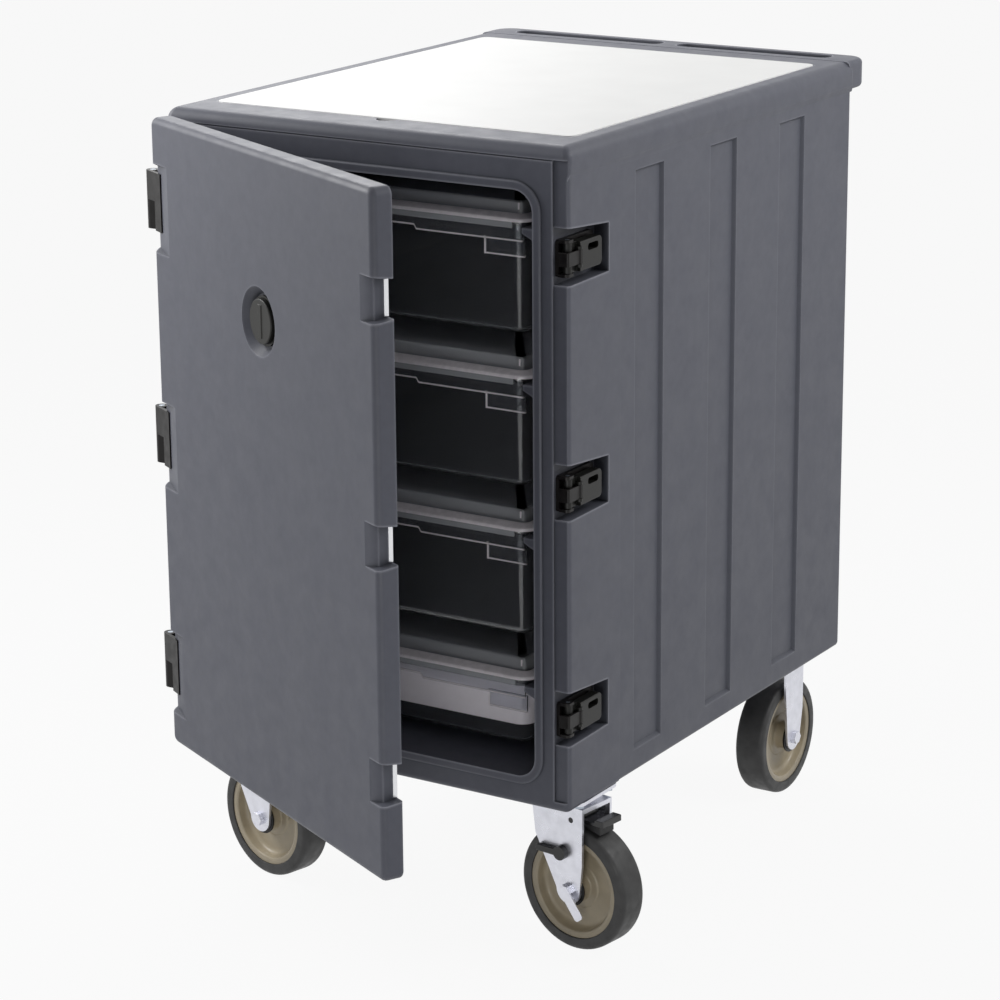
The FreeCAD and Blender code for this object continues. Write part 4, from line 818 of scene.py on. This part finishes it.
    def execute(self, context):
        """Make each tub with its aprons, and each lid with its skirts and its edge in painted highlight white."""
        clear = clear_plastic(self.finishes)
        lid_painted_reflection = lid_plastic(self.finishes)
        painted_highlight = painted_highlight_white(self.finishes)
        painted_reflection = painted_reflection_plastic(self.finishes)
        for level in LEVELS:
            box_name, lid_name = f"food_box_{level}", f"box_lid_{level}"
            low, high = (np.array(corner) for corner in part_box(box_name))
            tub = surface(f"tub_{level}", [(self.tub(low, high), False, 0)])
            place_piece(tub, [clear], box_name, "clear_box", box_name)
            aprons = surface(f"rim_aprons_{level}", self.aprons(low, high))
            aprons.data.set_sharp_from_angle(angle=CREASE_LIMIT)
            place_piece(aprons, [clear, painted_highlight], box_name, "clear_box")
            # Painted reflection: a white band round the lowest box.
            if level == REFLECTION_LEVEL:
                band = surface(f"painted_reflection_band_{level}", [(self.band(low, high), True, 0)])
                band.data.set_sharp_from_angle(angle=CREASE_LIMIT)
                place_piece(band, [painted_reflection], box_name, "clear_box")
            low, high = (np.array(corner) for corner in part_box(lid_name))
            grids = [(self.lid(low, high), False, 0), (self.lid_edge(low, high), True, 1)]
            grids += [(self.skirt(low, high, front), False, 0) for front in (True, False)]
            lid = surface(f"lid_{level}", grids + self.lid_posts(low, high))
            lid.data.set_sharp_from_angle(angle=CREASE_LIMIT)
            place_piece(lid, [lid_painted_reflection, painted_highlight], lid_name, "clear_lid", lid_name)
        return {"FINISHED"}


class CART_OT_hinges(CartPiece, bpy.types.Operator):
    """Nylon hinges with their pins and screws"""

    bl_idname = "cart.hinges"
    bl_label = "Hinges"

    def execute(self, context):
        """Soften the leaves and paint pins and screws."""
        dress(("cabinet_hinge_leaves", "door_hinge_leaves"), self.sizes.nylon_edge,
              black_nylon(self.finishes), "black_nylon")
        paint(("hinge_pins", "cabinet_screws", "door_screws", "latch_pivot_pins"),
              screw_steel(self.finishes))
        return {"FINISHED"}


class CART_OT_latches(CartPiece, bpy.types.Operator):
    """Draw latches and their keepers"""

    bl_idname = "cart.latches"
    bl_label = "Latches"

    def execute(self, context):
        """Soften bases, levers, hooks and keepers."""
        edge = self.sizes.nylon_edge
        dress(["latch_bases"] + [f"latch_hook_{name}" for name in LATCHES], edge, black_nylon(self.finishes),
              "black_nylon")
        dress([f"latch_lever_{name}" for name in LATCHES], edge, lever_grey(self.finishes), "black_nylon")
        dress(("latch_keepers",), self.sizes.metal_edge, bright_steel(self.finishes), "keeper_steel")
        return {"FINISHED"}


class CART_OT_vent(CartPiece, bpy.types.Operator):
    """Vent cap and seat, and the door's seal"""

    bl_idname = "cart.vent"
    bl_label = "Vent and seal"

    def execute(self, context):
        """Soften the vent and the seal."""
        dress(("vent_cap", "vent_seat"), self.sizes.nylon_edge, vent_olive(self.finishes), "vent_plastic")
        dress(("door_gasket",), 2 * self.sizes.metal_edge, seal_rubber(self.finishes), "seal_rubber")
        return {"FINISHED"}


class CART_OT_wheels(CartPiece, bpy.types.Operator):
    """Wheel cores, tyres and hub bushes"""

    bl_idname = "cart.wheels"
    bl_label = "Wheels"

    # Profiles in millimetres: radius and distance from the wheel's middle plane, then each corner's rounding
    tyre_line = ((72, -23), (89, -23), (89, 23), (72, 23))
    tyre_radii = (1.5, 8, 8, 1.5)
    core_line = ((11, 25), (19, 25), (21, 9), (31, 8), (33, 6.5), (57, 6), (61, 10), (63, 20), (66, 21),
                 (72, 21))
    core_radii = (1, 1.2, 3, 1.5, 1.5, 4, 4, 1.5, 1, 0.6)

    def execute(self, context):
        """Turn each wheel's profiles about its axle."""
        core_finish = wheel_beige(self.finishes)
        rubber = tyre_rubber(self.finishes)
        near = np.array(self.core_line, float)
        core = np.concatenate([near, near[::-1] * (1, -1)]) * MM
        core_radii = np.array(self.core_radii + self.core_radii[::-1]) * MM
        core = eased(core, core_radii, closed=True)
        tyre = eased(np.array(self.tyre_line) * MM, np.array(self.tyre_radii) * MM, steps=9, closed=True)
        steps = self.sizes.turn_steps
        for caster in CASTERS:
            roll = joint_named(f"{caster}_roll")
            centre, axis = roll["pos_m"], roll["axis"]
            body = f"{caster}_wheel"
            wheel = surface(f"{caster}_core", [(lathed(core, centre, axis, steps), True, 0)])
            wheel.data.set_sharp_from_angle(angle=CREASE_LIMIT)
            place_piece(wheel, [core_finish], body, "wheel_core", f"{caster}_wheel")
            ring = surface(f"{caster}_tread", [(lathed(tyre, centre, axis, steps), True, 0)])
            place_piece(ring, [rubber], body, "tyre_rubber", f"{caster}_tyre")
        dress([f"{caster}_bearing" for caster in CASTERS], self.sizes.nylon_edge,
              black_nylon(self.finishes), "black_nylon")
        return {"FINISHED"}


class CART_OT_forks(CartPiece, bpy.types.Operator):
    """Caster forks, plates, axles and bolts"""

    bl_idname = "cart.forks"
    bl_label = "Forks"

    def execute(self, context):
        """Soften the pressed steel and paint what is hidden."""
        zinc = zinc_plate(self.finishes)
        dress([f"{caster}_fork" for caster in CASTERS] + [f"{caster}_axle" for caster in CASTERS],
              self.sizes.metal_edge, zinc, "zinc_steel")
        dress(("front_caster_plates",), self.sizes.metal_edge, zinc, "zinc_steel")
        paint(("caster_backing_plates", "swivel_races"), zinc)
        paint(("caster_bolts", "kingpins"), screw_steel(self.finishes))
        return {"FINISHED"}


class CART_OT_brake(CartPiece, bpy.types.Operator):
    """Brake pedal, shoe and lever of the front right caster"""

    bl_idname = "cart.brake"
    bl_label = "Brake"

    def execute(self, context):
        """Soften the brake's pieces."""
        dress(("front_right_brake_pedal",), self.sizes.metal_edge, brake_black(self.finishes), "zinc_steel")
        dress(("front_right_brake_shoe",), self.sizes.metal_edge, seal_rubber(self.finishes), "seal_rubber")
        dress(("front_right_brake_cam",), self.sizes.nylon_edge, brake_black(self.finishes), "brake_plastic")
        return {"FINISHED"}


class CART_OT_stage(bpy.types.Operator):
    """Camera, floor, lamps and world"""

    bl_idname = "cart.stage"
    bl_label = "Stage"

    def camera(self, stage):
        """Camera that looks at the cart as the photograph does."""
        lens = bpy.data.cameras.new("camera")
        lens.lens = stage.camera_lens
        lens.sensor_width = stage.camera_sensor
        lens.clip_end = 200.0
        eye = bpy.data.objects.new("camera", lens)
        bpy.context.collection.objects.link(eye)
        turn = Matrix.Rotation(stage.camera_turn, 4, "Z")
        tilt = Matrix.Rotation(math.pi / 2 - stage.camera_tilt, 4, "X")
        roll = Matrix.Rotation(stage.camera_roll, 4, "Z")
        eye.matrix_world = Matrix.Translation(stage.camera_place) @ turn @ tilt @ roll
        bpy.context.scene.camera = eye

    def seen_ray(self, nodes, links):
        """Largest of Light Path's camera, glossy and transmission rays."""
        path = nodes.new("ShaderNodeLightPath")
        first = nodes.new("ShaderNodeMath")
        first.operation = "MAXIMUM"
        second = nodes.new("ShaderNodeMath")
        second.operation = "MAXIMUM"
        links.new(path.outputs["Is Camera Ray"], first.inputs[0])
        links.new(path.outputs["Is Glossy Ray"], first.inputs[1])
        links.new(first.outputs[0], second.inputs[0])
        links.new(path.outputs["Is Transmission Ray"], second.inputs[1])
        return second.outputs[0]

    def floor(self, stage):
        """Plain pale floor: part of what is seen of it is white, the rest takes light and shadow."""
        half = stage.floor_half
        mesh = bpy.data.meshes.new("floor")
        corners = [(-half, -half, 0), (half, -half, 0), (half, half, 0), (-half, half, 0)]
        mesh.from_pydata(corners, [], [(0, 1, 2, 3)])
        plane = linked("floor", mesh)
        material = bpy.data.materials.new("floor_white")
        material.use_nodes = True
        nodes, links = material.node_tree.nodes, material.node_tree.links
        nodes.clear()
        diffuse = nodes.new("ShaderNodeBsdfDiffuse")
        diffuse.inputs["Color"].default_value = (*stage.floor_colour, 1.0)
        glow = nodes.new("ShaderNodeEmission")
        share = nodes.new("ShaderNodeMath")
        share.operation = "MULTIPLY"
        share.inputs[1].default_value = stage.floor_glow
        links.new(self.seen_ray(nodes, links), share.inputs[0])
        mix = nodes.new("ShaderNodeMixShader")
        links.new(share.outputs[0], mix.inputs["Fac"])
        links.new(diffuse.outputs["BSDF"], mix.inputs[1])
        links.new(glow.outputs["Emission"], mix.inputs[2])
        out = nodes.new("ShaderNodeOutputMaterial")
        links.new(mix.outputs["Shader"], out.inputs["Surface"])
        mesh.materials.append(material)

    def world(self, stage):
        """White for what is seen and mirrored, a plain level for what lights the cart."""
        world = bpy.data.worlds.new("studio")
        world.use_nodes = True
        nodes, links = world.node_tree.nodes, world.node_tree.links
        level = nodes.new("ShaderNodeMapRange")
        level.inputs["To Min"].default_value = stage.world_level
        level.inputs["To Max"].default_value = stage.world_white
        links.new(self.seen_ray(nodes, links), level.inputs["Value"])
        links.new(level.outputs["Result"], nodes["Background"].inputs["Strength"])
        nodes["Background"].inputs["Color"].default_value = (1.0, 1.0, 1.0, 1.0)
        bpy.context.scene.world = world

    def lamp(self, name, power, side, place, aim):
        """Square soft lamp at a place, pointed at a target."""
        light = bpy.data.lights.new(name, "AREA")
        light.energy = power
        light.size = side
        lamp = bpy.data.objects.new(name, light)
        bpy.context.collection.objects.link(lamp)
        lamp.visible_camera = False
        away = np.asarray(place) - np.asarray(aim)
        turn = math.atan2(away[0], -away[1])
        tilt = math.atan2(math.hypot(away[0], away[1]), away[2])
        lamp.matrix_world = (Matrix.Translation(place) @ Matrix.Rotation(turn, 4, "Z")
                             @ Matrix.Rotation(tilt, 4, "X"))

    def execute(self, context):
        """Build the studio."""
        scene = bpy.context.scene
        stage = scene.cart_stage
        scene.view_settings.view_transform = "Standard"
        self.camera(stage)
        self.floor(stage)
        self.world(stage)
        middle = (np.array(cad_low) + np.array(cad_high)) / 2
        self.lamp("door_lamp", stage.door_power, stage.lamp_side, stage.door_place, middle)
        self.lamp("side_lamp", stage.side_power, stage.lamp_side, stage.side_place, middle)
        self.lamp("top_lamp", stage.top_power, stage.lamp_side, stage.top_place, middle)
        self.lamp("low_lamp", stage.low_power, stage.lamp_side / 2, stage.low_place, middle)
        return {"FINISHED"}


PIECES = (CART_OT_skins, CART_OT_board, CART_OT_boxes, CART_OT_hinges, CART_OT_latches, CART_OT_vent,
          CART_OT_wheels, CART_OT_forks, CART_OT_brake, CART_OT_stage)


class CART_PT_panel(bpy.types.Panel):
    """Settings and operators of the cart"""

    bl_label = "Food storage cart"
    bl_idname = "CART_PT_panel"
    bl_space_type = "VIEW_3D"
    bl_region_type = "UI"
    bl_category = "Cart"

    def draw(self, context):
        """List the settings and one button per operator."""
        layout = self.layout
        for group in (context.scene.cart_finishes, context.scene.cart_sizes, context.scene.cart_stage):
            column = layout.column(align=True)
            for key in group.bl_rna.properties.keys():
                if key not in ("rna_type", "name"):
                    column.prop(group, key)
        for piece in PIECES:
            layout.operator(piece.bl_idname)


CLASSES = (CartFinishes, CartSizes, CartStage) + PIECES + (CART_PT_panel,)


def register():
    """Register the classes and the settings."""
    for cls in CLASSES:
        bpy.utils.register_class(cls)
    bpy.types.Scene.cart_finishes = PointerProperty(type=CartFinishes)
    bpy.types.Scene.cart_sizes = PointerProperty(type=CartSizes)
    bpy.types.Scene.cart_stage = PointerProperty(type=CartStage)


def unregister():
    """Take the settings and the classes away."""
    del bpy.types.Scene.cart_stage
    del bpy.types.Scene.cart_sizes
    del bpy.types.Scene.cart_finishes
    for cls in reversed(CLASSES):
        bpy.utils.unregister_class(cls)


def main():
    """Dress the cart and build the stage."""
    register()
    bpy.ops.cart.skins()
    bpy.ops.cart.board()
    bpy.ops.cart.boxes()
    bpy.ops.cart.hinges()
    bpy.ops.cart.latches()
    bpy.ops.cart.vent()
    bpy.ops.cart.wheels()
    bpy.ops.cart.forks()
    bpy.ops.cart.brake()
    bpy.ops.cart.stage()


if __name__ == "__main__":
    main()
